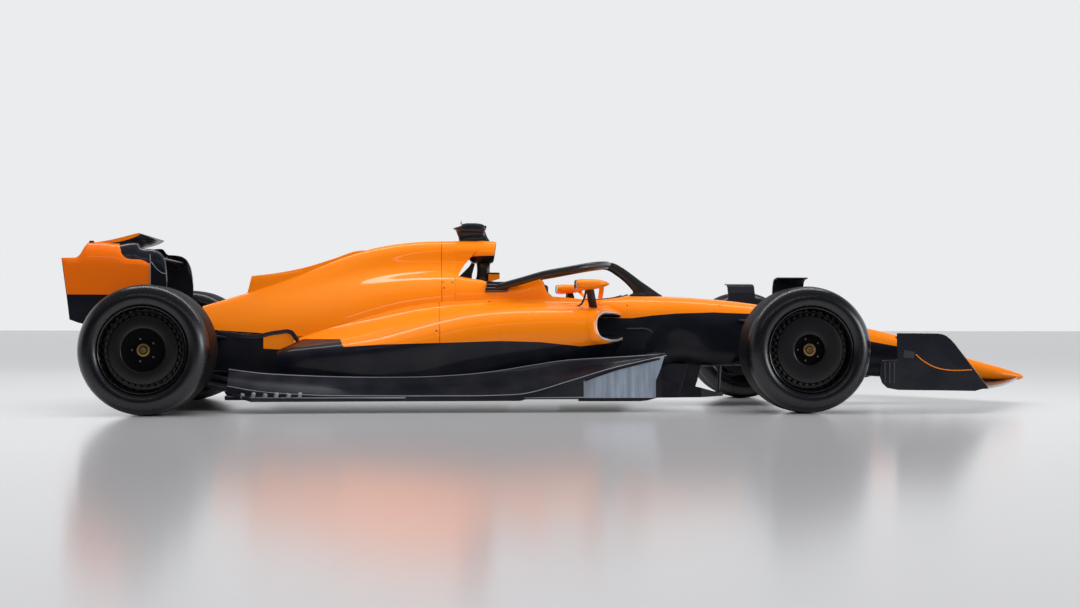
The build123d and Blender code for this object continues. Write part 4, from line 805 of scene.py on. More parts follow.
def ring_tree():
    """Turns the shape that comes in round an axle along y, a number of times."""
    tree, n, start, end = new_group("ring_round_axle", [
        ("Geometry", "Geometry", None), ("Count", "Int", 12), ("Radius", "Float", 0.1),
        ("Turn", "Float", 0.0), ("Place", "Vector", None), ("Finish", "Material", None),
    ], [("Geometry", "Geometry")], "GeometryNodeTree")
    circle = n.add("GeometryNodeMeshCircle", Vertices=start.outputs["Count"], Radius=start.outputs["Radius"])
    step = n.math("DIVIDE", 2 * math.pi, start.outputs["Count"])
    angle = n.math("MULTIPLY", n.add("GeometryNodeInputIndex").outputs[0], step)
    spin = n.add("ShaderNodeCombineXYZ", Z=angle)
    copies = n.add("GeometryNodeInstanceOnPoints", Points=circle.outputs[0],
                   Instance=start.outputs["Geometry"], Rotation=spin.outputs[0])
    real = n.add("GeometryNodeRealizeInstances", Geometry=copies.outputs[0])
    turn = n.add("ShaderNodeCombineXYZ", Z=start.outputs["Turn"])
    turned = n.add("GeometryNodeTransform", Geometry=real.outputs[0], Rotation=turn.outputs[0])
    stood = n.add("GeometryNodeTransform", Geometry=turned.outputs[0], Translation=start.outputs["Place"],
                  Rotation=(math.pi / 2, 0, 0))
    done = n.add("GeometryNodeSetMaterial", Geometry=stood.outputs[0], Material=start.outputs["Finish"])
    n.join(end.inputs[0], done.outputs[0])
    return tree


def stud_tree():
    """Stands a low stud on each point, its axis along the point's facing attribute."""
    tree, n, start, end = new_group("studs_on_points", [
        ("Geometry", "Geometry", None), ("Radius", "Float", 0.005), ("Rise", "Float", 0.002),
        ("Finish", "Material", None),
    ], [("Geometry", "Geometry")], "GeometryNodeTree")
    stud = n.add("GeometryNodeMeshCone", Vertices=12, Depth=start.outputs["Rise"],
                 Radius_Bottom=start.outputs["Radius"],
                 Radius_Top=n.math("MULTIPLY", start.outputs["Radius"], 0.7))
    facing = n.add("GeometryNodeInputNamedAttribute", {"data_type": "FLOAT_VECTOR"}, Name="facing")
    turned = n.add("FunctionNodeAlignRotationToVector", {"axis": "Z"}, Vector=facing.outputs[0])
    copies = n.add("GeometryNodeInstanceOnPoints", Points=start.outputs["Geometry"],
                   Instance=stud.outputs[0], Rotation=turned.outputs[0])
    real = n.add("GeometryNodeRealizeInstances", Geometry=copies.outputs[0])
    done = n.add("GeometryNodeSetMaterial", Geometry=real.outputs[0], Material=start.outputs["Finish"])
    n.join(end.inputs[0], done.outputs[0])
    return tree


RING_TREE, STUD_TREE = ring_tree(), stud_tree()


def grown(name, base_mesh, tree, finish, body, **values):
    """Plain flat shaded mesh that a Geometry Nodes tree grows from a base mesh."""
    seed = new_object(name + "_seed", base_mesh)
    modifier = seed.modifiers.new("grow", "NODES")
    modifier.node_group = tree
    for item in tree.interface.items_tree:
        if item.item_type == "SOCKET" and item.in_out == "INPUT" and item.name != "Geometry":
            modifier[item.identifier] = finish if item.name == "Finish" else values[item.name]
    shown = seed.evaluated_get(bpy.context.evaluated_depsgraph_get())
    mesh = bpy.data.meshes.new_from_object(shown)
    bpy.data.objects.remove(seed)
    piece = new_object(name, mesh)
    for face in mesh.polygons:
        face.use_smooth = False
    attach(piece, body)
    return piece


def studs(name, places, finish, radius, rise, body="chassis"):
    """Fasteners at (point, direction) pairs in metres, with a radius and a rise in millimetres."""
    mesh = bpy.data.meshes.new(name + "_points")
    mesh.from_pydata([p for p, _ in places], [], [])
    facing = mesh.attributes.new("facing", "FLOAT_VECTOR", "POINT")
    facing.data.foreach_set("vector", np.array([d for _, d in places], float).ravel())
    return grown(name, mesh, STUD_TREE, finish, body, Radius=radius / 1000, Rise=rise / 1000)


def on_skin(piece, spot):
    """Where a ray from the car's side through a drawing point meets a piece, and which way the skin faces."""
    direction = Vector((0, 1 if spot[1] >= 0 else -1, 0))
    hit, place, normal, _ = piece.ray_cast(Vector(metres(spot)) + direction * 2, -direction)
    return (tuple(place), tuple(normal if normal.dot(direction) > 0 else -normal)) if hit else None


print("trees:", RING_TREE.name, STUD_TREE.name)

# %% [markdown]
# ## Wheels
# The tyres are slicks: a smooth dull tread, round shoulders and full, glossy sidewalls. Inside sits a
# black rim with a rolled lip, and a flat cover with teeth round its edge, dished at the hub, where one
# gold nut holds the wheel. Everything here is turned round the axle, as on a lathe, except the
# teeth and the small bolts.

# %% Tyres, rims and nuts
TYRE_SIDE = [  # radius, and depth in from the outer face, as in all the wheel's tables
    (224, 36), (230, 31), (236, 25), (241, 17.5), (248, 10), (257, 4.5), (267, 1.2), (278, 0), (288, 1.2),
    (298, 4.5), (308, 10), (317, 17), (326, 26), (334, 37), (341, 51), (346.5, 70), (350, 104),
]
LIP = [(219, 42), (226, 30), (232, 24), (234.5, 20.5), (232.5, 18), (228.5, 20), (225.5, 27), (221, 36),
       (217.5, 46)]
DISH = [(215.5, 62), (211, 82), (188, 82), (184.5, 56), (182, 51.5), (177, 50), (150, 48.5), (104, 49),
        (91, 50), (87, 51.5), (84.5, 55), (83.5, 62), (81, 75), (75, 80), (52, 80), (49, 78), (36, 77),
        (33, 80), (20, 80)]
REAR_DISH = DISH[:7] + [(132, 49), (122, 50), (118, 51.5), (115.5, 55), (113, 62), (98, 75), (90, 80),
                        (52, 80), (49, 78), (36, 77), (33, 80), (20, 80)]
RECESS_FROM = 10  # the point where the dish turns in to the hub
TREAD_RADIUS = 346.0  # from here out the rubber is dull
NUT_RING = [(35.5, 80), (35.5, 61), (34, 57.5), (23.5, 57), (21.5, 60), (21, 70)]
NUT_GROOVE = [(21, 70), (16.5, 70)]
NUT_CORE = [(16.5, 70), (16.5, 58), (15, 55), (11, 55), (9.2, 58), (9, 68), (0.5, 68)]
BARREL_RADIUS, BARREL_WALL, DISC_BACK = 229, 10, 88
STUB_RADIUS, HUB_HOLE, AXIS = 35, 20, 0.5
TYRE_WIDTHS = {"front": 355, "rear": 440}
TOOTH_COUNT, TOOTH_RADIUS, TOOTH_DEPTH = 34, 193, 55
BOLT_COUNT, BOLT_RADIUS, BOLT_DEPTH = 5, 62, 76


def small_block(x, y, z, inset):
    """Bevelled block of that size round its own origin, with its outer face drawn in."""
    bm = bmesh.new()
    low, high = ([bm.verts.new((a * s / 2000, b * s / 2000, level / 1000))
                  for a, b in ((-x, -y), (x, -y), (x, y), (-x, y))]
                 for s, level in ((1.0, -z / 2), (1.0 - inset, z / 2)))
    for i in range(4):
        j = (i + 1) % 4
        bm.faces.new([low[i], low[j], high[j], high[i]])
    bm.faces.new(low[::-1])
    bm.faces.new(high)
    return new_mesh("small_block", bm)


def add_lathe(bm, rows, centre, side, segments=96, material=0):
    """Turned surface from rows of (radius, depth in from the wheel's outer face)."""
    profile = [(r, side * HALF_WIDTH - side * depth) for r, depth in rows]
    grid = [[(centre[0] + r * d, y, centre[2] + r * c) for c, d in oval(segments)] for r, y in profile]
    add_grid(bm, grid, ring=True, material=material)


def build_wheel(corner, side_name, side, axle_x):
    """Tyre, rim, nut, teeth and bolts of one wheel; returns how many faces they have."""
    tag = f"{corner}_{side_name}"
    body = "wheel_" + tag
    width, centre = TYRE_WIDTHS[corner], (axle_x, 0, AXLE_Z)
    bm = bmesh.new()
    outside = [tuple(p) for p in smooth_rows([(r, d, 0) for r, d in TYRE_SIDE], 2)[:, :2]]
    inside = [(r, width - d) for r, d in outside[::-1]]
    add_lathe(bm, outside + inside + outside[:1], centre, side)
    tyre = add_piece(f"tyre_skin_{tag}", bm, [RUBBER, TREAD], body, [f"tyre_{tag}"])
    middle = Vector(metres(centre))
    for face in tyre.data.polygons:
        spread = [tyre.data.vertices[i].co - middle for i in face.vertices]
        if min(math.hypot(v.x, v.z) for v in spread) > TREAD_RADIUS / 1000:
            face.material_index = 1

    axle_low, axle_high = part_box(f"rim_{tag}")
    axle_depth = 1000 * (HALF_WIDTH / 1000 - (axle_low.y if side > 0 else -axle_high.y))
    bm = bmesh.new()
    bore = BARREL_RADIUS - BARREL_WALL
    back = [(HUB_HOLE, DISC_BACK - 4), (STUB_RADIUS, DISC_BACK - 4), (STUB_RADIUS, DISC_BACK),
            (bore, DISC_BACK)]
    back += [(r, width - d) for r, d in ((bore, 40), (224, 30), (234, 24), (240, 20), (237, 18), (231, 30),
                                         (225, 40), (BARREL_RADIUS, 60))]
    back += [(BARREL_RADIUS, 60)]
    add_lathe(bm, back + LIP[:1], centre, side)
    lip_curve = [tuple(p) for p in smooth_rows([(r, d, 0) for r, d in LIP], 2)[:, :2]]
    add_lathe(bm, lip_curve + [DISH[0]], centre, side)
    dish = DISH if corner == "front" else REAR_DISH
    add_lathe(bm, dish[:4], centre, side)
    add_lathe(bm, dish[3 : RECESS_FROM + 1], centre, side, material=1)
    # The hub recess is painted shade, near black.
    add_lathe(bm, dish[RECESS_FROM:] + [(HUB_HOLE, DISC_BACK - 4)], centre, side, material=2)
    stub = [(STUB_RADIUS, DISC_BACK - 1), (STUB_RADIUS, axle_depth), (AXIS, axle_depth)]
    add_lathe(bm, stub, centre, side, 48)
    rim = add_piece(f"rim_skin_{tag}", bm, [RIM_BLACK, COVER_BLACK, PAINTED_SHADE_BLACK], body, [f"rim_{tag}"])

    bm = bmesh.new()
    for rows, finish in ((NUT_RING, 0), (NUT_GROOVE, 1), (NUT_CORE, 0)):
        add_lathe(bm, rows, centre, side, 48, finish)
    nut = add_piece(f"wheel_nut_{tag}", bm, [GOLD, RIM_BLACK], body)

    rings = []
    for name, block, finish, count, radius, depth, turn in (
        ("cover_teeth", small_block(14, 21, 12, 0.25), SCREW_BLACK,
         TOOTH_COUNT, TOOTH_RADIUS, TOOTH_DEPTH, 0.0),
        ("cover_bolts", small_block(12, 12, 10, 0.4), STEEL,
         BOLT_COUNT, BOLT_RADIUS, BOLT_DEPTH, math.pi),
    ):
        place = (metres(centre)[0], side * (HALF_WIDTH - depth) / 1000, AXLE_Z / 1000)
        rings.append(grown(f"{name}_{tag}", block, RING_TREE, finish, body, Count=count, Radius=radius / 1000,
                           Turn=turn, Place=place))
    return [len(p.data.polygons) for p in (tyre, rim, nut, *rings)]


for corner, axle_x in (("front", FRONT_AXLE), ("rear", REAR_AXLE)):
    for side_name, side in (("left", 1), ("right", -1)):
        print(corner, side_name, build_wheel(corner, side_name, side, axle_x))

# %% [markdown]
# ## Air intake, roll hoop and camera
# The intake over the driver's head is a round-cornered mouth with a rolled lip, and its duct goes
# back into the engine cover. It stands on one black pillar with a gusset behind it. On
# top sits a small camera pod with an aerial.

# %% Intake pod
INTAKE_RING = [(0, 855), (58, 857), (99, 871), (119, 900), (114, 938), (88, 971), (45, 987), (0, 989)]
INTAKE_ROWS = [  # x, and how far the ring is drawn in there
    (-42, 30), (-36, 12), (-20, 4), (0, 0), (76, 0), (94, 1), (105, 4), (109, 9), (105, 13), (88, 14),
    (0, 16), (-30, 34),
]
INTAKE_MIDDLE_Z, INTAKE_HALF_HEIGHT, INTAKE_LEAN = 922.0, 67.0, 0.14
LIP_FROM, DUCT_FROM = 24, 34  # rows of its grid


def intake_section(x, inset):
    """Half ring of the intake at x, drawn in by an inset, leaning forward at the top."""
    share = 1 - inset / INTAKE_HALF_HEIGHT
    lean = INTAKE_LEAN if x > 40 else 0
    points = [(y * share, INTAKE_MIDDLE_Z + (z - INTAKE_MIDDLE_Z) * share) for y, z in INTAKE_RING]
    return [(x + lean * (z - INTAKE_MIDDLE_Z), y, z) for y, z in points]


bm = bmesh.new()
intake_grid = surface_grid([intake_section(x, inset) for x, inset in INTAKE_ROWS], 4, 6)
# The duct behind the intake's lip is painted shade, near black.
add_grid(bm, intake_grid, mirrored=True, caps=(0, -1),
         material=lambda row, column: 1 if row >= DUCT_FROM else 2 if row >= LIP_FROM else 0)
intake = add_piece("intake_pod", bm, [INTAKE_PAINT, PAINTED_SHADE_BLACK, GREY_CARBON],
                   replaces=["airbox"], outward=False)
print("intake faces", len(intake.data.polygons))

# %% Roll hoop pillar and gusset
PILLAR = [(690, -30, 98, 40), (738, -24, 92, 34), (762, -4, 84, 24), (800, 3, 81, 20), (845, 2, 82, 22),
          (868, -2, 88, 34)]
PEDESTAL = [(980, -106, 84, 40), (992, -106, 80, 34), (1015, -110, 66, 28), (1035, -118, 58, 30),
            (1052, -124, 52, 40)]


def upright(rows, count, fill, between):
    """Grid of a post from rows of (z, rear x, front x, half width)."""
    rings = []
    for z, x_low, x_high, half in rows:
        middle, reach = (x_low + x_high) / 2, (x_high - x_low) / 2
        rings.append([(middle + reach * c, half * d, z) for c, d in oval(count, fill)])
    return smooth_rows(rings, between)


bm = bmesh.new()
add_grid(bm, upright(PILLAR, 32, 1.0, 6), ring=True, caps=(0, -1))
plate_into(bm, [(-116, 764), (-30, 752), (-26, 790), (-9, 852), (-30, 860), (-44, 836), (-74, 806)], -16, 16)
for outline, half, finish in (([(70, 742), (138, 762), (138, 790), (70, 790)], 60, 1),
                              ([(66, 790), (140, 790), (134, 799), (72, 799)], 64, 0)):
    plate_into(bm, outline, -half, half, finish)
pillar = add_piece("roll_hoop_pillar", bm, [HALO_BLACK, PAINT], replaces=["roll_hoop"])
add_bevel(pillar, 3)

# %% Camera pod
bm = bmesh.new()
add_grid(bm, upright(PEDESTAL, 28, 0.7, 4), ring=True, caps=(0, -1))
CAMERA_OUTLINE = [(-142, 1066), (-120, 1052), (-92, 1042), (20, 1040), (46, 1045), (57, 1060), (54, 1078),
                  (34, 1092), (0, 1097), (-60, 1097), (-88, 1092), (-98, 1080)]
CAMERA_MIDDLE_X, CAMERA_MIDDLE_Z = -40, 1069
for sign in (1, -1):
    rows = []
    for y, share in ((0, 1.0), (34, 1.0), (52, 0.94), (60, 0.8), (63, 0.5)):
        rows.append([(CAMERA_MIDDLE_X + (x - CAMERA_MIDDLE_X) * share, sign * y,
                      CAMERA_MIDDLE_Z + (z - CAMERA_MIDDLE_Z) * share) for x, z in CAMERA_OUTLINE])
    add_grid(bm, rows, ring=True, caps=(-1,))
add_tube(bm, [(-93, 0, 1092), (-93, 0, 1104), (-94, 0, 1113)], [4.5, 2.5, 1.2], sides=10, tilt=(1, 0, 0))
camera_pod = add_piece("roll_camera_pod", bm, GLOSS_CARBON, replaces=["roll_camera"])
bm = bmesh.new()
add_tube(bm, [(50, 42, 1074), (58, 42, 1074)], 9, sides=20, mirrored=True)
add_piece("camera_lenses", bm, LENS_GLASS)
print("camera faces", len(camera_pod.data.polygons))

# %% [markdown]
# ## Halo
# The halo is a bent titanium tube in a black shell. From the side it rises from its two feet in a
# long flat arch and meets the tub at one strut in front of the driver. The shell's rear ends
# lie on three stepped black layers with pale edges.

# %% Halo hoop, strut and feet
HALO_PATH = [(66, 300, 691), (130, 322, 708), (240, 352, 738), (384, 368, 779), (520, 360, 805),
             (610, 334, 822), (690, 268, 836), (748, 180, 843), (782, 90, 845), (792, 0, 845)]
STRUT = [  # outer x, z, inner x, z, half thickness: from the hoop down to the foot
    (790, 866, 750, 826, 20), (836, 861, 800, 815, 18), (894, 831, 849, 786, 15), (952, 790, 902, 745, 14),
    (1007, 749, 942, 704, 14), (1066, 709, 954, 687, 16), (1108, 680, 951, 676, 20),
    (1135, 662, 934, 667, 23), (1140, 652, 930, 655, 24), (1136, 640, 930, 640, 24),
]
FOOT_LAYERS = [  # rear x, front x, low z, high z, half width: from the bottom layer up
    (38, 160, 683, 697, 37), (44, 188, 702, 716, 35), (50, 216, 721, 736, 32),
]
FOOT_Y = 301
half_hoop = smooth_rows(HALO_PATH, 8)
whole_hoop = np.concatenate([half_hoop, half_hoop[-2::-1] * np.array([1, -1, 1])])
bm = bmesh.new()
add_tube(bm, whole_hoop, 25, 21.5, 24, square=0.85)
strut_rows = []
for outer_x, outer_z, inner_x, inner_z, half in STRUT:
    strut_rows.append([((outer_x + inner_x) / 2 + (outer_x - inner_x) / 2 * c, half * d,
                        (outer_z + inner_z) / 2 + (outer_z - inner_z) / 2 * c) for c, d in oval(28)])
add_grid(bm, smooth_rows(strut_rows, 5), ring=True, caps=(0, -1))
halo = add_piece("halo_shell", bm, HALO_BLACK, replaces=["halo"])
bm = bmesh.new()
for rear, front, low, high, half in FOOT_LAYERS:
    layer = [(rear, low), (front, low), (front + 20, high), (rear + 4, high)]
    plate_into(bm, layer, FOOT_Y - half, FOOT_Y + half, mirrored=True)
    trim_y = FOOT_Y + half + 1
    trim = [(rear - 1, trim_y, low - 1), (front, trim_y, low - 1), (front + 20, trim_y, high)]
    add_tube(bm, trim, 1.6, 1.6, 8, mirrored=True, material=1)
plate_into(bm, [(36, 640), (150, 640), (200, 736), (50, 736)], 272, 326, mirrored=True)
add_bevel(add_piece("halo_feet", bm, [HALO_BLACK, PALE_TRIM_AND_HIGHLIGHTS]), 1)
print("halo faces", len(halo.data.polygons))

# %% [markdown]
# ## Mirrors
# Each mirror has a drop shaped housing, painted like the body, and its flat rear holds the glass. One
# curved black blade carries it off the sidepod, with a thin black stay and a painted arm to the tub.

# %% Mirror housings and stays
MIRROR = [  # x, half width, middle z, half height
    (541, 84, 713, 27), (552, 89, 713, 30), (600, 91, 714, 31), (650, 82, 716, 28), (692, 66, 718, 21),
    (720, 42, 719, 11), (731, 20, 719, 5),
]
MIRROR_Y, MIRROR_Z = 603.0, 713
bm = bmesh.new()
rows = [[(x, MIRROR_Y + half * c, z + rise * d) for c, d in oval(32, 0.7, 0.75)]
        for x, half, z, rise in MIRROR]
housing_grid = smooth_rows(rows, 4)
dish = [(x + 5, MIRROR_Y + (y - MIRROR_Y) * 0.92, MIRROR_Z + (z - MIRROR_Z) * 0.86) for x, y, z in rows[0]]
for side in (1, -1):
    flip = np.array([1, side, 1])
    add_grid(bm, housing_grid * flip, ring=True, caps=(-1,))
    add_grid(bm, np.array([rows[0], dish]) * flip, ring=True, material=1)
    add_grid(bm, np.array([dish, dish]) * flip, ring=True, caps=(-1,), material=2)
MIRROR_STAYS = [  # points, then height, width and finish: the blade, the thin stay and the painted arm
    ([(622, 590, 694), (630, 574, 665), (640, 556, 620), (648, 540, 586), (650, 528, 552)], 23, 5, 1),
    ([(606, 560, 692), (600, 548, 650), (584, 520, 606), (550, 460, 590), (516, 380, 588)], 6, 3.5, 1),
    ([(690, 596, 702), (696, 540, 686), (706, 430, 664), (716, 318, 644)], 14, 4.5, 0),
]
for path, wide, thin, finish in MIRROR_STAYS:
    add_tube(bm, smooth_rows(path, 5), thin, wide, 12, tilt=(1, 0, 0), mirrored=True, material=finish)
mirrors = add_piece("mirror_pair", bm, [PAINT, GLOSS_CARBON, GLASS],
                    replaces=["mirrors"])
print("mirror faces", len(mirrors.data.polygons))

# %% [markdown]
# ## Wings
# All wing elements are thin cambered aerofoils. One function draws the section between a nose and a
# tail, and the elements are rows of sections from the middle to the tip. The rear flap stands
# open, as in the photograph, and turns about a pin near its tail.

# %% Aerofoils
WING_STEPS = 22


def aerofoil_ring(y, nose, tail, camber, thickness):
    """Closed wing section at y, from its tail over the top and back under the belly."""
    nose, tail = np.array(nose, float), np.array(tail, float)
    chord = tail - nose
    down = np.array([-chord[1], chord[0]]) / np.linalg.norm(chord)
    down = down if down[1] < 0 else -down
    shares = (1 - np.cos(np.linspace(0, math.pi, WING_STEPS))) / 2
    drop = (camber - thickness / 2) * 4 * shares * (1 - shares)
    half = 5 * thickness * (0.2969 * np.sqrt(shares) - 0.126 * shares - 0.3516 * shares**2
                            + 0.2843 * shares**3 - 0.0936 * shares**4)
    half = np.maximum(half, 0.8)
    top = [nose + chord * s + down * (d - h) for s, d, h in zip(shares, drop, half)]
    belly = [nose + chord * s + down * (d + h) for s, d, h in zip(shares, drop, half)]
    return [(x, y, z) for x, z in top[::-1] + belly]


def wing_grid(rows, between):
    """Wing surface through rows of (y, nose x, nose z, tail x, tail z, camber, thickness)."""
    rings = [aerofoil_ring(y, (a, b), (c, d), camber, thick) for y, a, b, c, d, camber, thick in rows]
    return smooth_rows(rings, between)


FX, RX = FRONT_AXLE, REAR_AXLE
FRONT_ELEMENTS = {
    "mainplane": [
        (0, FX + 1560, 168, FX + 1290, 152, 24, 20), (60, FX + 1543, 166, FX + 1286, 150, 26, 18),
        (300, FX + 1424, 158, FX + 1164, 149, 27, 17), (550, FX + 1280, 150, FX + 1030, 155, 26, 16),
        (800, FX + 1120, 145, FX + 905, 156, 20, 14), (984, FX + 985, 142, FX + 800, 160, 16, 12),
    ],
    "flap_low": [(60, FX + 1285, 172, FX + 1130, 215, 20, 12), (550, FX + 1022, 172, FX + 880, 225, 20, 12),
                 (984, FX + 795, 178, FX + 690, 235, 14, 9)],
    "flap_mid": [(60, FX + 1125, 232, FX + 990, 290, 18, 11), (550, FX + 875, 242, FX + 745, 320, 18, 11),
                 (984, FX + 684, 252, FX + 590, 330, 12, 8)],
    "flap_top": [(60, FX + 985, 308, FX + 860, 370, 16, 10), (550, FX + 738, 338, FX + 610, 415, 16, 10),
                 (984, FX + 584, 348, FX + 492, 428, 10, 8)],
}
bm = bmesh.new()
add_grid(bm, wing_grid(FRONT_ELEMENTS["mainplane"], 8), mirrored=True, ring=True, caps=(-1,))
# A pale strip under the mainplane's leading edge is a painted reflection.
painted_reflection_line = smooth_rows([(x - 6, y, z - 3) for y, x, z, *_ in FRONT_ELEMENTS["mainplane"]], 8)
add_tube(bm, painted_reflection_line, 7, 5, 10, mirrored=True, material=1)
add_piece("front_mainplane_skin", bm, [GLOSS_CARBON, PALE_TRIM_AND_HIGHLIGHTS],
          replaces=["front_wing_mainplane"])
bm = bmesh.new()
for name in ("flap_low", "flap_mid", "flap_top"):
    add_grid(bm, wing_grid(FRONT_ELEMENTS[name], 10), mirrored=True, ring=True, caps=(0, -1))
front_flaps = add_piece("front_flap_skins", bm, GLOSS_CARBON, replaces=["front_wing_flaps"])
BRACKETS = [  # from a share of one element's chord to a share of the next one's
    ("mainplane", 0.85, "flap_low", 0.2), ("flap_low", 0.8, "flap_mid", 0.2),
    ("flap_mid", 0.8, "flap_top", 0.2),
]


def on_element(name, y, share):
    """Point on the chord of a front wing element."""
    table = np.array(FRONT_ELEMENTS[name], float)
    nose_x, nose_z, tail_x, tail_z = (np.interp(y, table[:, 0], table[:, i]) for i in (1, 2, 3, 4))
    return (nose_x + (tail_x - nose_x) * share, y, nose_z + (tail_z - nose_z) * share)


bm = bmesh.new()
for y in (180, 420, 700):
    for low, low_share, high, high_share in BRACKETS:
        ends = [on_element(low, y, low_share), on_element(high, y, high_share)]
        add_tube(bm, ends, 3.0, 12, 10, tilt=(0, 0.2, 1), mirrored=True)
add_piece("flap_brackets", bm, STEEL)
print("front flap faces", len(front_flaps.data.polygons))

# %% Front endplates
FRONT_PLATE = [(FX + 476, 443), (FX + 600, 442), (FX + 700, 441), (FX + 730, 437), (FX + 752, 428),
               (FX + 775, 410), (FX + 799, 386), (FX + 895, 264), (FX + 991, 140), (FX + 950, 134),
               (FX + 912, 124), (FX + 700, 128), (FX + 596, 129), (FX + 480, 131), (FX + 420, 142),
               (FX + 392, 168), (FX + 377, 210), (FX + 380, 260), (FX + 394, 292), (FX + 476, 296)]
PLATE_STRIPE = [(2379, 326), (2408, 300), (2440, 278), (2508, 249), (2560, 240), (2613, 238), (2695, 241)]
bm = bmesh.new()
plate_into(bm, FRONT_PLATE, 985, 999, mirrored=True)
front_plates = add_piece("front_endplate_skins", bm, GLOSS_CARBON,
                         replaces=["front_wing_endplates"])
add_bevel(front_plates, 3)
bm = bmesh.new()
stripe = smooth_rows([(x, 1000, z) for x, z in PLATE_STRIPE], 5)
add_tube(bm, stripe, 1.2, 2.6, 8, mirrored=True)
add_piece("endplate_stripes", bm, PAINT)
bm = bmesh.new()
for step in range(3):  # three upright ribs, each thinner than the one behind it
    x = FX + 400 + 26 * step
    plate_into(bm, [(x, 168), (x + 8, 168), (x + 8, 284), (x, 284)], 1000, 1004 - step, mirrored=True)
plate_into(bm, [(FX + 506, 310), (FX + 566, 305), (FX + 572, 340), (FX + 514, 350)], 999, 1001, mirrored=True)
add_bevel(add_piece("endplate_steps", bm, GREY_CARBON), 1)

# %% Rear wing planes
# nose x and z, tail x and z, camber, thickness
REAR_MAIN = (RX - 5, 866, RX - 165, 884, 40, 22)
OPEN_FLAP = (RX - 125, 1003, RX - 400, 948, 24, 22)
BEAM = (RX - 140, 480, RX - 330, 525, 24, 16)
bm = bmesh.new()
add_grid(bm, wing_grid([(y, *REAR_MAIN) for y in (-462, 0, 462)], 6), ring=True, caps=(0, -1))
add_piece("rear_mainplane_skin", bm, GLOSS_CARBON, replaces=["rear_wing_mainplane"])
bm = bmesh.new()
add_grid(bm, wing_grid([(y, *OPEN_FLAP) for y in (-384, 0, 384)], 6), ring=True, caps=(0, -1),
         material=lambda row, column: 2 if column >= WING_STEPS - 1 else 0)
add_tube(bm, [(RX - 392, -400, 950), (RX - 392, 400, 950)], 4, sides=12, material=1)
add_piece("rear_flap_skin", bm, [PAINT, STEEL, GLOSS_CARBON], "drs_flap", ["drs_flap"])
bm = bmesh.new()
add_grid(bm, wing_grid([(y, *BEAM) for y in (-463, 0, 463)], 6), ring=True, caps=(0, -1))
add_piece("beam_wing_skin", bm, GLOSS_CARBON, replaces=["beam_wing"])

# %% [markdown]
# The rear endplates roll inwards at their tops and meet the planes in one curve. Each column of
# the table is one upright strip of the plate: its foot, where its roll begins, its top and how far
# the roll reaches in.

# %% Rear endplates
PLATE_COLUMNS = [  # x, foot z, bend z, top z, and how far the roll reaches in
    (-2337, 855, 857, 857, 2), (-2336, 840, 842, 858, 3), (-2322, 742, 815, 859, 8),
    (-2308, 640, 815, 860, 12), (-2292, 512, 815, 860, 16), (-2262, 501, 815, 862, 20),
    (-2246, 495, 815, 880, 36), (-2226, 490, 815, 928, 68), (-2212, 488, 815, 950, 84),
    (-2190, 487, 815, 952, 88), (-2080, 478, 815, 945, 90), (-2026, 474, 815, 935, 88),
    (-2008, 472, 815, 906, 78), (-1982, 470, 815, 881, 66), (-1912, 466, 813, 871, 62),
    (-1880, 470, 811, 856, 56), (-1861, 474, 808, 842, 50), (-1846, 477, 806, 846, 50),
    (-1836, 480, 806, 908, 66), (-1815, 484, 800, 902, 60), (-1793, 491, 790, 884, 50),
    (-1780, 510, 780, 860, 40), (-1769, 600, 770, 824, 28), (-1760, 695, 700, 740, 10),
]
ROLL_COLUMNS = [  # the black inner skin that shows over the dip in the orange edge
    (-2036, 800, 812, 940, 76), (-1960, 800, 812, 953, 76), (-1934, 800, 812, 949, 72),
    (-1912, 800, 812, 920, 62), (-1880, 800, 811, 915, 60), (-1842, 796, 808, 911, 58),
    (-1815, 790, 798, 900, 50), (-1793, 780, 788, 882, 42),
]
PLATE_SHAPE = [(0.0, 0.0), (0.02, 0.2), (0.08, 0.4), (0.2, 0.6), (0.42, 0.8), (0.7, 0.93), (1.0, 1.0)]
PLATE_OUTER_Y, PLATE_WALL = 480.0, 12.0


def rolled_plate(columns, outer_y, wall, sharp=()):
    """Closed thin plate from its upright strips, rolled inwards at the top."""
    rows = []
    for x, foot, bend, top, reach in columns:
        outer = [(outer_y, foot + (bend - foot) * s) for s in (0, 0.25, 0.5, 0.75)]
        outer += [(outer_y - reach * a, bend + (top - bend) * b) for a, b in PLATE_SHAPE]
        thin = max(2.0, min(wall, (top - foot) * 0.4))
        inner = [(y - thin * (1 - 0.7 * min(1, (outer_y - y) / 60)), z - (thin * 0.8 if z > bend else 0))
                 for y, z in outer[::-1]]
        rows.append([(x, y, z) for y, z in outer + inner])
    return smooth_rows(rows, 3, sharp=sharp)


plate_grid = rolled_plate(PLATE_COLUMNS, PLATE_OUTER_Y, PLATE_WALL, sharp=range(3, 9))
roll_grid = rolled_plate(ROLL_COLUMNS, PLATE_OUTER_Y - PLATE_WALL, 4.0)
outer_points = 4 + len(PLATE_SHAPE)
bm = bmesh.new()
for side in (1, -1):
    add_grid(bm, plate_grid * np.array([1, side, 1]), ring=True, caps=(0, -1),
             material=lambda row, column: int(outer_points - 1 <= column < 2 * outer_points - 1))
    add_grid(bm, roll_grid * np.array([1, side, 1]), ring=True, caps=(0, -1), material=1)
for low, high in ((391, 404), (-404, -391)):  # the hinge boxes of the flap's pins
    box_into(bm, (RX - 404, low, 938), (RX - 380, high, 959), 1)
rear_plates = add_piece("rear_endplate_skins", bm, [SHADED_PLATE_PAINT, GLOSS_CARBON],
                        replaces=["rear_wing_endplates"])
bm = bmesh.new()
PLATE_TRIMS = [  # rows of (x, y, z) on the left plate: the black rear edge, then two pale lines painted as highlights, one up the outer face near the front and one hooked
    [(-2338, 478, 856), (-2322, 479, 742), (-2308, 479, 640), (-2292, 479, 512)],
    [(-1851, 481, 490), (-1850, 481, 700), (-1850, 481, 812), (-1852, 474, 850), (-1856, 460, 880)],
    [(-1846, 480, 838), (-1826, 482, 812), (-1800, 482, 786), (-1775, 481, 772), (-1762, 478, 775)],
]
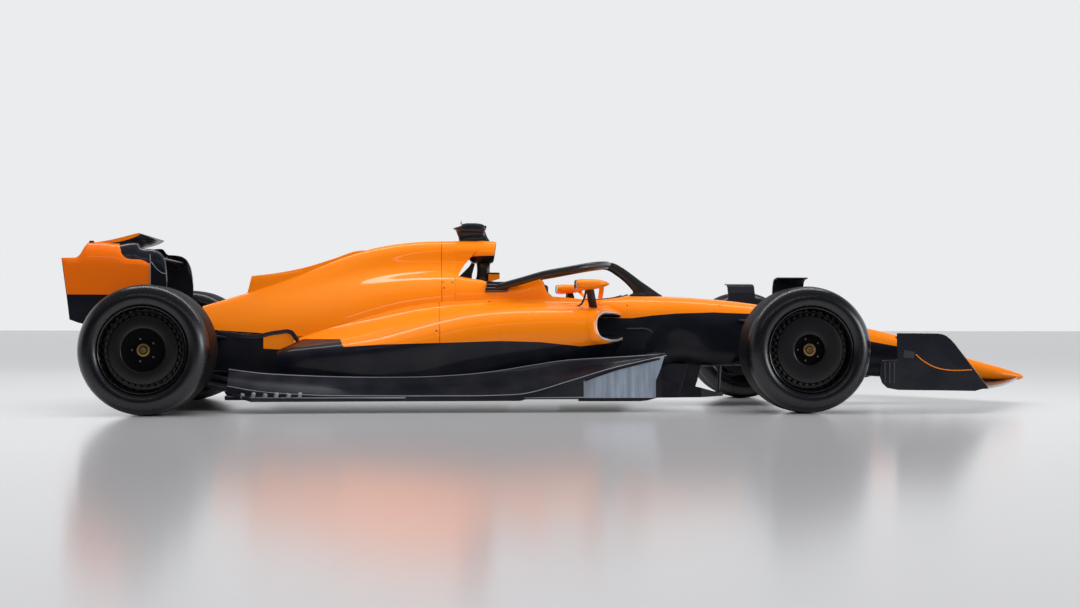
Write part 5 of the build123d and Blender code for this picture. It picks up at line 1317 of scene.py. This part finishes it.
for number, path in enumerate(PLATE_TRIMS):
    add_tube(bm, smooth_rows(path, 5), 2.0, 2.0, 8, tilt=(0, 1, 0), mirrored=True, material=int(number > 0))
add_piece("wing_edge_trims", bm, [GLOSS_CARBON, PALE_TRIM_AND_HIGHLIGHTS])
print("rear endplate faces", len(rear_plates.data.polygons))

# %% [markdown]
# ## Floor edge
# Between the sidepod's foot and the floor's outer edge lies a long dished blade. It starts as a high
# lip over the front fences, falls in a sweep along the diagonal leading edge and runs low to
# the rear tyre. Under its front stand the upright fences that part the air.

# %% Floor edge blade
EDGE_BLADE = [  # x, then (y, z) of the top edge, the dished middle, the low edge, and the foot's z
    (1034, 700, 322, 732, 316, 768, 315, 300), (900, 700, 312, 740, 294, 775, 286, 270),
    (700, 690, 300, 737, 260, 783, 238, 220), (480, 680, 286, 735, 218, 788, 172, 150),
    (240, 672, 250, 733, 162, 788, 106, 84), (60, 668, 222, 731, 144, 788, 96, 84),
    (-226, 668, 198, 730, 132, 788, 94, 84), (-557, 668, 192, 728, 130, 785, 95, 84),
    (-996, 655, 202, 716, 140, 770, 103, 84), (-1236, 632, 216, 682, 158, 724, 120, 84),
    (-1396, 612, 236, 652, 182, 682, 146, 90),
]


def blade_section(x, top_y, top_z, mid_y, mid_z, low_y, low_z, foot):
    """Closed section: over the lip, down the dish, round the low edge and back underneath."""
    dish = []
    for s in (0.3, 0.65):
        sag = math.sin(math.pi * s)
        dish.append((x, (1 - s) * top_y + s * mid_y - 5 * sag, (1 - s) * top_z + s * mid_z - 9 * sag))
    return [
        (x, top_y - 7, top_z - 4), (x, top_y - 2, top_z), (x, top_y + 3, top_z - 1), *dish, (x, mid_y, mid_z),
        (x, (mid_y + low_y) / 2, (mid_z + low_z) / 2 - 3), (x, low_y - 3, low_z), (x, low_y, low_z - 4),
        (x, low_y, foot), (x, low_y - 8, foot), (x, low_y - 8, low_z - 8), (x, mid_y - 5, mid_z - 9),
        (x, (top_y + mid_y) / 2 - 12, (top_z + mid_z) / 2 - 12),
    ]


edge_grid = smooth_rows([blade_section(*row) for row in EDGE_BLADE], 7)
bm = bmesh.new()
add_grid(bm, edge_grid, mirrored=True, ring=True, caps=(0, -1))
HIGHLIGHT_BEADS = [(1, 0, 2.4), (7, 0, 2.0), (9, 46, 3.0)]  # column, first row and radius of pale beads, painted highlights along the lip and the low edge
for column, start_row, radius in HIGHLIGHT_BEADS:
    highlight_bead = edge_grid[start_row:, column] + np.array([0, 1.0, 1.0])
    add_tube(bm, highlight_bead, radius, radius, 8, mirrored=True, material=1)
edge_blades = add_piece("floor_edge_blades", bm, [CARBON, PALE_TRIM_AND_HIGHLIGHTS],
                        replaces=["floor_edge_wings"])
print("edge blade faces", len(edge_blades.data.polygons))

# %% Front fences and the slotted rear edge
FENCES = [  # front x, front y, rear x, rear y, foot z, top z at the front and at the rear
    (1030, 330, 620, 300, 52, 310, 205), (1035, 460, 600, 430, 52, 311, 200),
    (1035, 590, 560, 580, 52, 311, 190),
]
FENCE_HALF, FENCE_BOW, FENCE_CUT = 4, 10, 26  # half thickness, bulge, and how far its front foot is cut up
bm = bmesh.new()
for front_x, front_y, rear_x, rear_y, foot, front_top, rear_top in FENCES:
    rows = []
    for share in np.linspace(0, 1, 13):
        x = front_x + (rear_x - front_x) * share
        y = front_y + (rear_y - front_y) * share + FENCE_BOW * math.sin(math.pi * share)
        low_y, high_y = y - FENCE_HALF, y + FENCE_HALF
        top = front_top + (rear_top - front_top) * share
        low = foot + FENCE_CUT * max(0, 1 - share * 5)
        rows.append([(x, low_y, low), (x, low_y, top), (x, high_y, top), (x, high_y, low)])
    add_grid(bm, rows, mirrored=True, ring=True, caps=(0, -1))
inner_fences = add_piece("inner_fences", bm, GLOSS_CARBON)
bm = bmesh.new()
OUTER_FENCE = [(571, 80), (571, 169), (640, 196), (783, 243), (974, 308), (1022, 312), (1000, 240),
               (974, 176), (974, 80)]
DARK_FENCE = [(226, 80), (226, 92), (420, 150), (571, 200), (571, 80)]
DARK_EDGES = [[(226, 779, 88), (571, 779, 200)], [(571, 779, 200), (571, 779, 84)],
              [(571, 779, 84), (240, 779, 82)]]
plate_into(bm, OUTER_FENCE, 764, 770, mirrored=True)
add_piece("outer_fence_panels", bm, PALE_CARBON, replaces=["floor_fences"])
bm = bmesh.new()
plate_into(bm, DARK_FENCE, 772, 778, mirrored=True)
for path in DARK_EDGES:
    add_tube(bm, path, 2.5, 2.5, 8, tilt=(0, 1, 0), mirrored=True, material=1)
add_piece("dark_fence_panels", bm, [CARBON, PALE_TRIM_AND_HIGHLIGHTS])
bm = bmesh.new()
VANE = [(1000, 150), (1000, 66), (1180, 60), (1290, 62), (1312, 108), (1326, 152), (1352, 252), (1080, 252)]
for y, back in ((120, 0), (168, 90)):
    vane = [(x - back, z) for x, z in VANE]
    plate_into(bm, vane, y, y + 6, mirrored=True)
    edge = [(x, y + 3, z) for x, z in vane[3:7]]
    add_tube(bm, edge, 3.5, 3.5, 8, tilt=(0, 1, 0), mirrored=True, material=1)
add_piece("bib_vanes", bm, [CARBON, GREY_CARBON])
bm = bmesh.new()
add_tube(bm, [(1482, 0, 60), (1490, 0, 150), (1497, 0, 240)], 7, 3, 12, tilt=(0, 1, 0))
shoe = [(1430, 0, 62), (1470, 0, 72), (1496, 0, 66), (1506, 0, 58)]
add_tube(bm, shoe, [30, 20, 12, 5], [5, 9, 8, 4], 14, material=1)
add_piece("bib_stay", bm, [PALE_TRIM_AND_HIGHLIGHTS, GOLD])
bm = bmesh.new()
# The fins are real small parts, but their pale colour is painted glints.
FIN_PLACES = (-1322, -1262, -1196, -1136, -1070, -1010)
for index, x in enumerate(FIN_PLACES):
    y = 752 + 14 * min(index, 2) * 0.8  # the rear two sit further in
    fin = [(x, y - 24, 90), (x + 18, y - 24, 90), (x + 24, y - 20, 108 + 8 * (index % 2)),
           (x + 8, y - 20, 112)]
    rows = [fin, [(a + 10, b + 34, c - 6) for a, b, c in fin]]
    add_grid(bm, rows, mirrored=True, ring=True, caps=(0, -1))
add_piece("rear_edge_fins", bm, PALE_TRIM_AND_HIGHLIGHTS)
print("fence faces", len(inner_fences.data.polygons))

# %% [markdown]
# ## Cockpit
# The driver's seat stays as the CAD drew it. Round the head lies a padded horseshoe in a thick
# cover with soft, full edges. The steering wheel is a flat yoke with two grips, a screen
# and rows of buttons.

# %% Headrest pad
PAD_PATH = [  # x, y, half width, half height
    (416, 239, 20, 58), (400, 238, 23, 60), (300, 234, 28, 61), (200, 226, 36, 61), (130, 196, 44, 61),
    (92, 140, 44, 61), (78, 60, 38, 61), (76, 0, 37, 61),
]
PAD_Z = 661
pad_line = smooth_rows([(x, y, PAD_Z) for x, y, _, _ in PAD_PATH], 6)
pad_size = smooth_rows([(w, h, 0) for _, _, w, h in PAD_PATH], 6)
pad_line = np.concatenate([pad_line, pad_line[-2::-1] * np.array([1, -1, 1])])
pad_size = np.concatenate([pad_size, pad_size[-2::-1]])
steps = np.arange(len(pad_line))
ends = np.minimum(1, np.sqrt(np.minimum(steps, steps[::-1]) / 5 + 0.08))  # rounds the pad off at both ends
bm = bmesh.new()
add_tube(bm, pad_line, pad_size[:, 0] * ends, pad_size[:, 1] * (0.75 + 0.25 * ends), 28, square=0.55)
pad = add_piece("headrest_pad", bm, FOAM, replaces=["headrest"])

# %% Seal round the cockpit's rim
rim_line = tub_grid[OPEN_FROM * ALONG + 4 : OPEN_TO * ALONG - 4, 7 * AROUND + 3]
bm = bmesh.new()
add_tube(bm, rim_line + np.array([0, 0, 1.5]), 4, 4, 10, mirrored=True)
add_piece("cockpit_seal", bm, FOAM)

# %% Steering wheel
WHEEL_MIDDLE = np.array([694.0, 0.0, 541.2])
TO_DRIVER = np.array([-0.9806, 0.0, 0.1961])
WHEEL_UP = np.array([0.1961, 0.0, 0.9806])
ACROSS = np.array([0.0, 1.0, 0.0])


def on_wheel(across, up, out):
    """Drawing point on the steering wheel, from its middle."""
    return WHEEL_MIDDLE + ACROSS * across + WHEEL_UP * up + TO_DRIVER * out


YOKE = [(-96, 58), (-60, 62), (60, 62), (96, 58), (104, 30), (104, -20), (84, -52), (40, -66), (-40, -66),
        (-84, -52), (-104, -20), (-104, 30)]
GRIP = [(92, 64, 0), (116, 58, 2), (124, 20, 4), (122, -22, 3), (108, -52, 1), (84, -62, 0)]
SCREEN = [(-42, 6), (42, 6), (42, 46), (-42, 46)]
bm = bmesh.new()
rings = []
for scale, out in ((0.9, -13), (1.0, -9), (1.0, 9), (0.93, 13)):
    rings.append([on_wheel(a * scale, b * scale, out) for a, b in YOKE])
add_grid(bm, rings, ring=True, caps=(0, -1))
for sign in (1, -1):
    grip = smooth_rows([on_wheel(sign * a, b, c) for a, b, c in GRIP], 5)
    add_tube(bm, grip, 12, 12, 14, tilt=(1, 0, 0), material=1)
column_end = WHEEL_MIDDLE + np.array([400, 0, -80])
add_tube(bm, [on_wheel(0, 0, -10), column_end], 12, sides=24, material=2)
screen = [on_wheel(a, b, 13.4) for a, b in SCREEN]
add_grid(bm, [screen, [p + TO_DRIVER * 2 for p in screen]], ring=True, caps=(-1,), material=3)
add_piece("steering_yoke", bm, [CARBON, RUBBER, STEEL, LENS_GLASS], "steering_wheel",
          ["steering_wheel"])
button_places = [(on_wheel(a, b, 14), TO_DRIVER) for a in (-84, -66, 66, 84) for b in (-24, 2, 28, 48)]
button_places += [(on_wheel(a, -42, 14), TO_DRIVER) for a in (-36, -12, 12, 36)]
for number, finish in enumerate((LENS, GOLD, COVER_BLACK)):
    chosen = [(tuple(metres(p)), tuple(d)) for p, d in button_places[number::3]]
    studs(f"wheel_buttons_{number}", chosen, finish, 5.5, 6, "steering_wheel")
print("steering wheel done")

# %% [markdown]
# ## Fasteners and black trims
# The panels are held by small screws along their seams. A few single ones show in the photograph,
# on the shoulder, the sidepod and beside the cockpit. Behind the sidepod, a black frame edges
# the opening where the hot air leaves.

# %% Screws on the panels
SEAM_SCREWS = [(SEAM_X - 34, -900, 452), (SEAM_X + 10, -900, 455), (SEAM_X + 14, -900, 700)]
SINGLE_SCREWS = [(-335, -900, 415), (62, -900, 620), (-150, -900, 732), (-205, -900, 735), (880, -900, 600),
                 (1450, -900, 600), (1750, -900, 560), (2120, -900, 470), (2180, -900, 462),
                 (2120, -900, 330), (2180, -900, 322)]
screwed_pieces = (*pod_pieces, cover_piece, tub_piece, nose_piece)
found = []
for x, y, z in SEAM_SCREWS + SINGLE_SCREWS:
    for side in (1, -1):
        hits = [on_skin(piece, (x, side * y, z)) for piece in screwed_pieces]
        hits = [hit for hit in hits if hit]
        if hits:
            found.append(max(hits, key=lambda hit: abs(hit[0][1])))
studs("panel_screws", found, SCREW_BLACK, 5.0, 2.0)
print("screws", len(found))

# %% Small hook on the tub's flank
bm = bmesh.new()
hook = smooth_rows([(868, 332, 462), (930, 331, 463), (985, 325, 462), (1012, 318, 452), (1026, 312, 440)], 4)
add_tube(bm, hook, 5, 3, 10, tilt=(0, 1, 0), mirrored=True)
add_piece("flank_hook", bm, GREY_CARBON)

# %% Trims round the hot air outlet
OUTLET_FRAME = [(-1481, 432, 440), (-1380, 434, 427), (-1309, 437, 417), (-1250, 439, 418), (-1200, 440, 431),
                (-1128, 441, 443), (-1086, 443, 447), (-1068, 445, 442), (-1048, 450, 420), (-1030, 456, 393)]
OUTLET_PANEL = [(-1225, 348), (-1130, 343), (-1058, 376), (-1046, 410), (-1064, 440), (-1128, 440),
                (-1200, 428), (-1225, 420)]
bm = bmesh.new()
add_tube(bm, smooth_rows(OUTLET_FRAME, 5), 12, 6, 14, tilt=(0, 1, 0), square=0.7, mirrored=True)
add_piece("outlet_frame", bm, GLOSS_CARBON)
bm = bmesh.new()
plate_into(bm, OUTLET_PANEL, 436, 442, mirrored=True)
add_bevel(add_piece("outlet_inner_panel", bm, PAINT), 2)

# %% [markdown]
# ## Tail
# Behind the gearbox a tapered carbon box takes the load of a crash, and a red light with small lens
# cells closes it. The exhaust is a turned pipe with a thin lip.

# %% Crash structure, light and exhaust
CRASH = [  # x, half width, low z, high z
    (RX + 20, 70, 310, 430), (RX - 160, 63, 314, 418), (RX - 340, 53, 318, 402), (RX - 486, 46, 321, 390),
    (RX - 490, 42, 325, 386),
]
bm = bmesh.new()
rows = []
for x, half, low, high in CRASH:
    middle, reach = (low + high) / 2, (high - low) / 2
    rows.append([(x, half * c, middle + reach * d) for c, d in oval(32, 0.45, 0.45)])
add_grid(bm, rows, ring=True, caps=(0, -1))
add_piece("crash_box", bm, CARBON, replaces=["rear_crash_structure"])
bm = bmesh.new()
box_into(bm, (RX - 520, -35, 325), (RX - 489, 35, 385))
add_bevel(add_piece("rain_light_body", bm, LENS, replaces=["rain_light"]), 4)
cells = [(tuple(metres((RX - 520, y, z))), (-1, 0, 0))
         for y in (-22, -11, 0, 11, 22) for z in (337, 349, 361, 373)]
studs("rain_light_cells", cells, LENS, 4.5, 3)
bm = bmesh.new()
pipe_front, pipe_rear = np.array([RX + 240, 0, 520.0]), np.array([RX - 260, 0, 590.0])
along = (pipe_rear - pipe_front) / np.linalg.norm(pipe_rear - pipe_front)
PIPE = [  # distance along the pipe, radius: back along the outside, then in again
    (0, 47), (250, 47.5), (490, 47.5), (501, 48), (505, 47), (503, 44), (495, 43.5), (350, 43), (349, 2),
]
up = np.cross(along, ACROSS)
rows = [[pipe_front + along * way + ACROSS * r * c + up * r * d for c, d in oval(40)] for way, r in PIPE]
add_grid(bm, rows, ring=True, caps=(0, -1))
add_piece("tailpipe_turned", bm, HOT_METAL, replaces=["exhaust_tailpipe"])
print("tail done")

# %% [markdown]
# ## Floor and backdrop
# The photo's hall has a pale, polished floor and a white wall. Here one wide floor stands for the
# first. The wall is the world itself: it is white behind the car, also in reflections, and dims
# towards the open hall on the camera's side, so black parts stay black. Neither is part of the car.

# %% Stage
STAGE_HALF = 70
bm = bmesh.new()
corners = [(-1, -1), (1, -1), (1, 1), (-1, 1)]
bm.faces.new([bm.verts.new((STAGE_HALF * x, STAGE_HALF * y, 0)) for x, y in corners])
stage = new_object("stage", new_mesh("stage", bm))
stage.data.materials.append(new_material("stage_floor", (0.78, 0.78, 0.8, 1), 0.16, specular=0.6)[0])

# %% [markdown]
# ## Light
# Soft light comes from panels in the ceiling and from the open side of the hall. The three lamps that
# mirror give the long highlights that show how the bodywork curves, and they leave the floor out, so
# that no bright bar lies beside the car. In reflections the world has a grey roof and a bright door
# too.

# %% Lamps and world


def add_panel(name, place_m, target_m, width, height, watts, mirrored=True):
    """Soft rectangular lamp that looks at a target; an unmirrored one leaves no highlight."""
    lamp = bpy.data.lights.new(name, "AREA")
    lamp.shape, lamp.size, lamp.size_y, lamp.energy = "RECTANGLE", width, height, watts
    item = new_object(name, lamp)
    item.location = place_m
    item.rotation_euler = (Vector(target_m) - Vector(place_m)).to_track_quat("-Z", "Y").to_euler()
    item.visible_glossy = mirrored
    return item


add_panel("ceiling_panel", (0, -0.8, 4.8), (0, 0, 0), 10.0, 2.6, 240, mirrored=False)
add_panel("camera_side_panel", (-1.0, -7.5, 4.4), (0, 0, 0.4), 9.0, 2.4, 165, mirrored=False)
add_panel("far_side_panel", (-2.0, 6.0, 4.4), (0, 0, 0.5), 8.0, 2.0, 95, mirrored=False)
mirrored_lamps = [
    add_panel("open_side", (8.5, -4.5, 2.2), (0, 0, 0.5), 3.5, 3.0, 190),
    add_panel("roof_strip", (-0.3, 1.5, 4.4), (-0.3, 0, 0), 8.0, 0.5, 95),
    add_panel("gate_strip", (-0.8, -4.4, 3.5), (-0.8, 0, 0.4), 6.5, 0.2, 12),
]
spared = bpy.data.collections.new("spared_floor")
spared.objects.link(stage)
spared.collection_objects[0].light_linking.link_state = "EXCLUDE"
for item in mirrored_lamps:
    item.light_linking.receiver_collection = spared
world = bpy.data.worlds.new("world")
bpy.context.scene.world = world
world.use_nodes = True
world.node_tree.nodes.clear()
n = Nodes(world.node_tree)
rays = n.add("ShaderNodeLightPath")
way = n.add("ShaderNodeSeparateXYZ", in0=n.add("ShaderNodeTexCoord").outputs["Generated"])


def fade(axis, low, high):
    """Soft step from 0 to 1 along one axis of the view direction."""
    return n.add("ShaderNodeMapRange", {"interpolation_type": "SMOOTHSTEP"}, Value=way.outputs[axis],
                 From_Min=low, From_Max=high).outputs["Result"]


WALL_WHITE = (0.83, 0.84, 0.85, 1)
wall, roof, doors = fade("Y", -0.35, 0.25), fade("Z", 0.25, 0.6), fade("X", 0.5, 0.8)
mirrored_room = n.mix(wall, (0.05, 0.05, 0.055, 1), WALL_WHITE)
mirrored_room = n.mix(doors, mirrored_room, (1.0, 1.1, 1.25, 1))
mirrored_room = n.mix(roof, mirrored_room, (0.16, 0.16, 0.17, 1))
seen = n.math("MAXIMUM", rays.outputs["Is Camera Ray"], rays.outputs["Is Transmission Ray"])
colour = n.mix(rays.outputs["Is Glossy Ray"], (0.22, 0.22, 0.23, 1), mirrored_room)
background = n.add("ShaderNodeBackground", Color=n.mix(seen, colour, WALL_WHITE), Strength=1.0)
n.add("ShaderNodeOutputWorld", in0=background.outputs[0])
bpy.context.scene.view_settings.view_transform = "Standard"
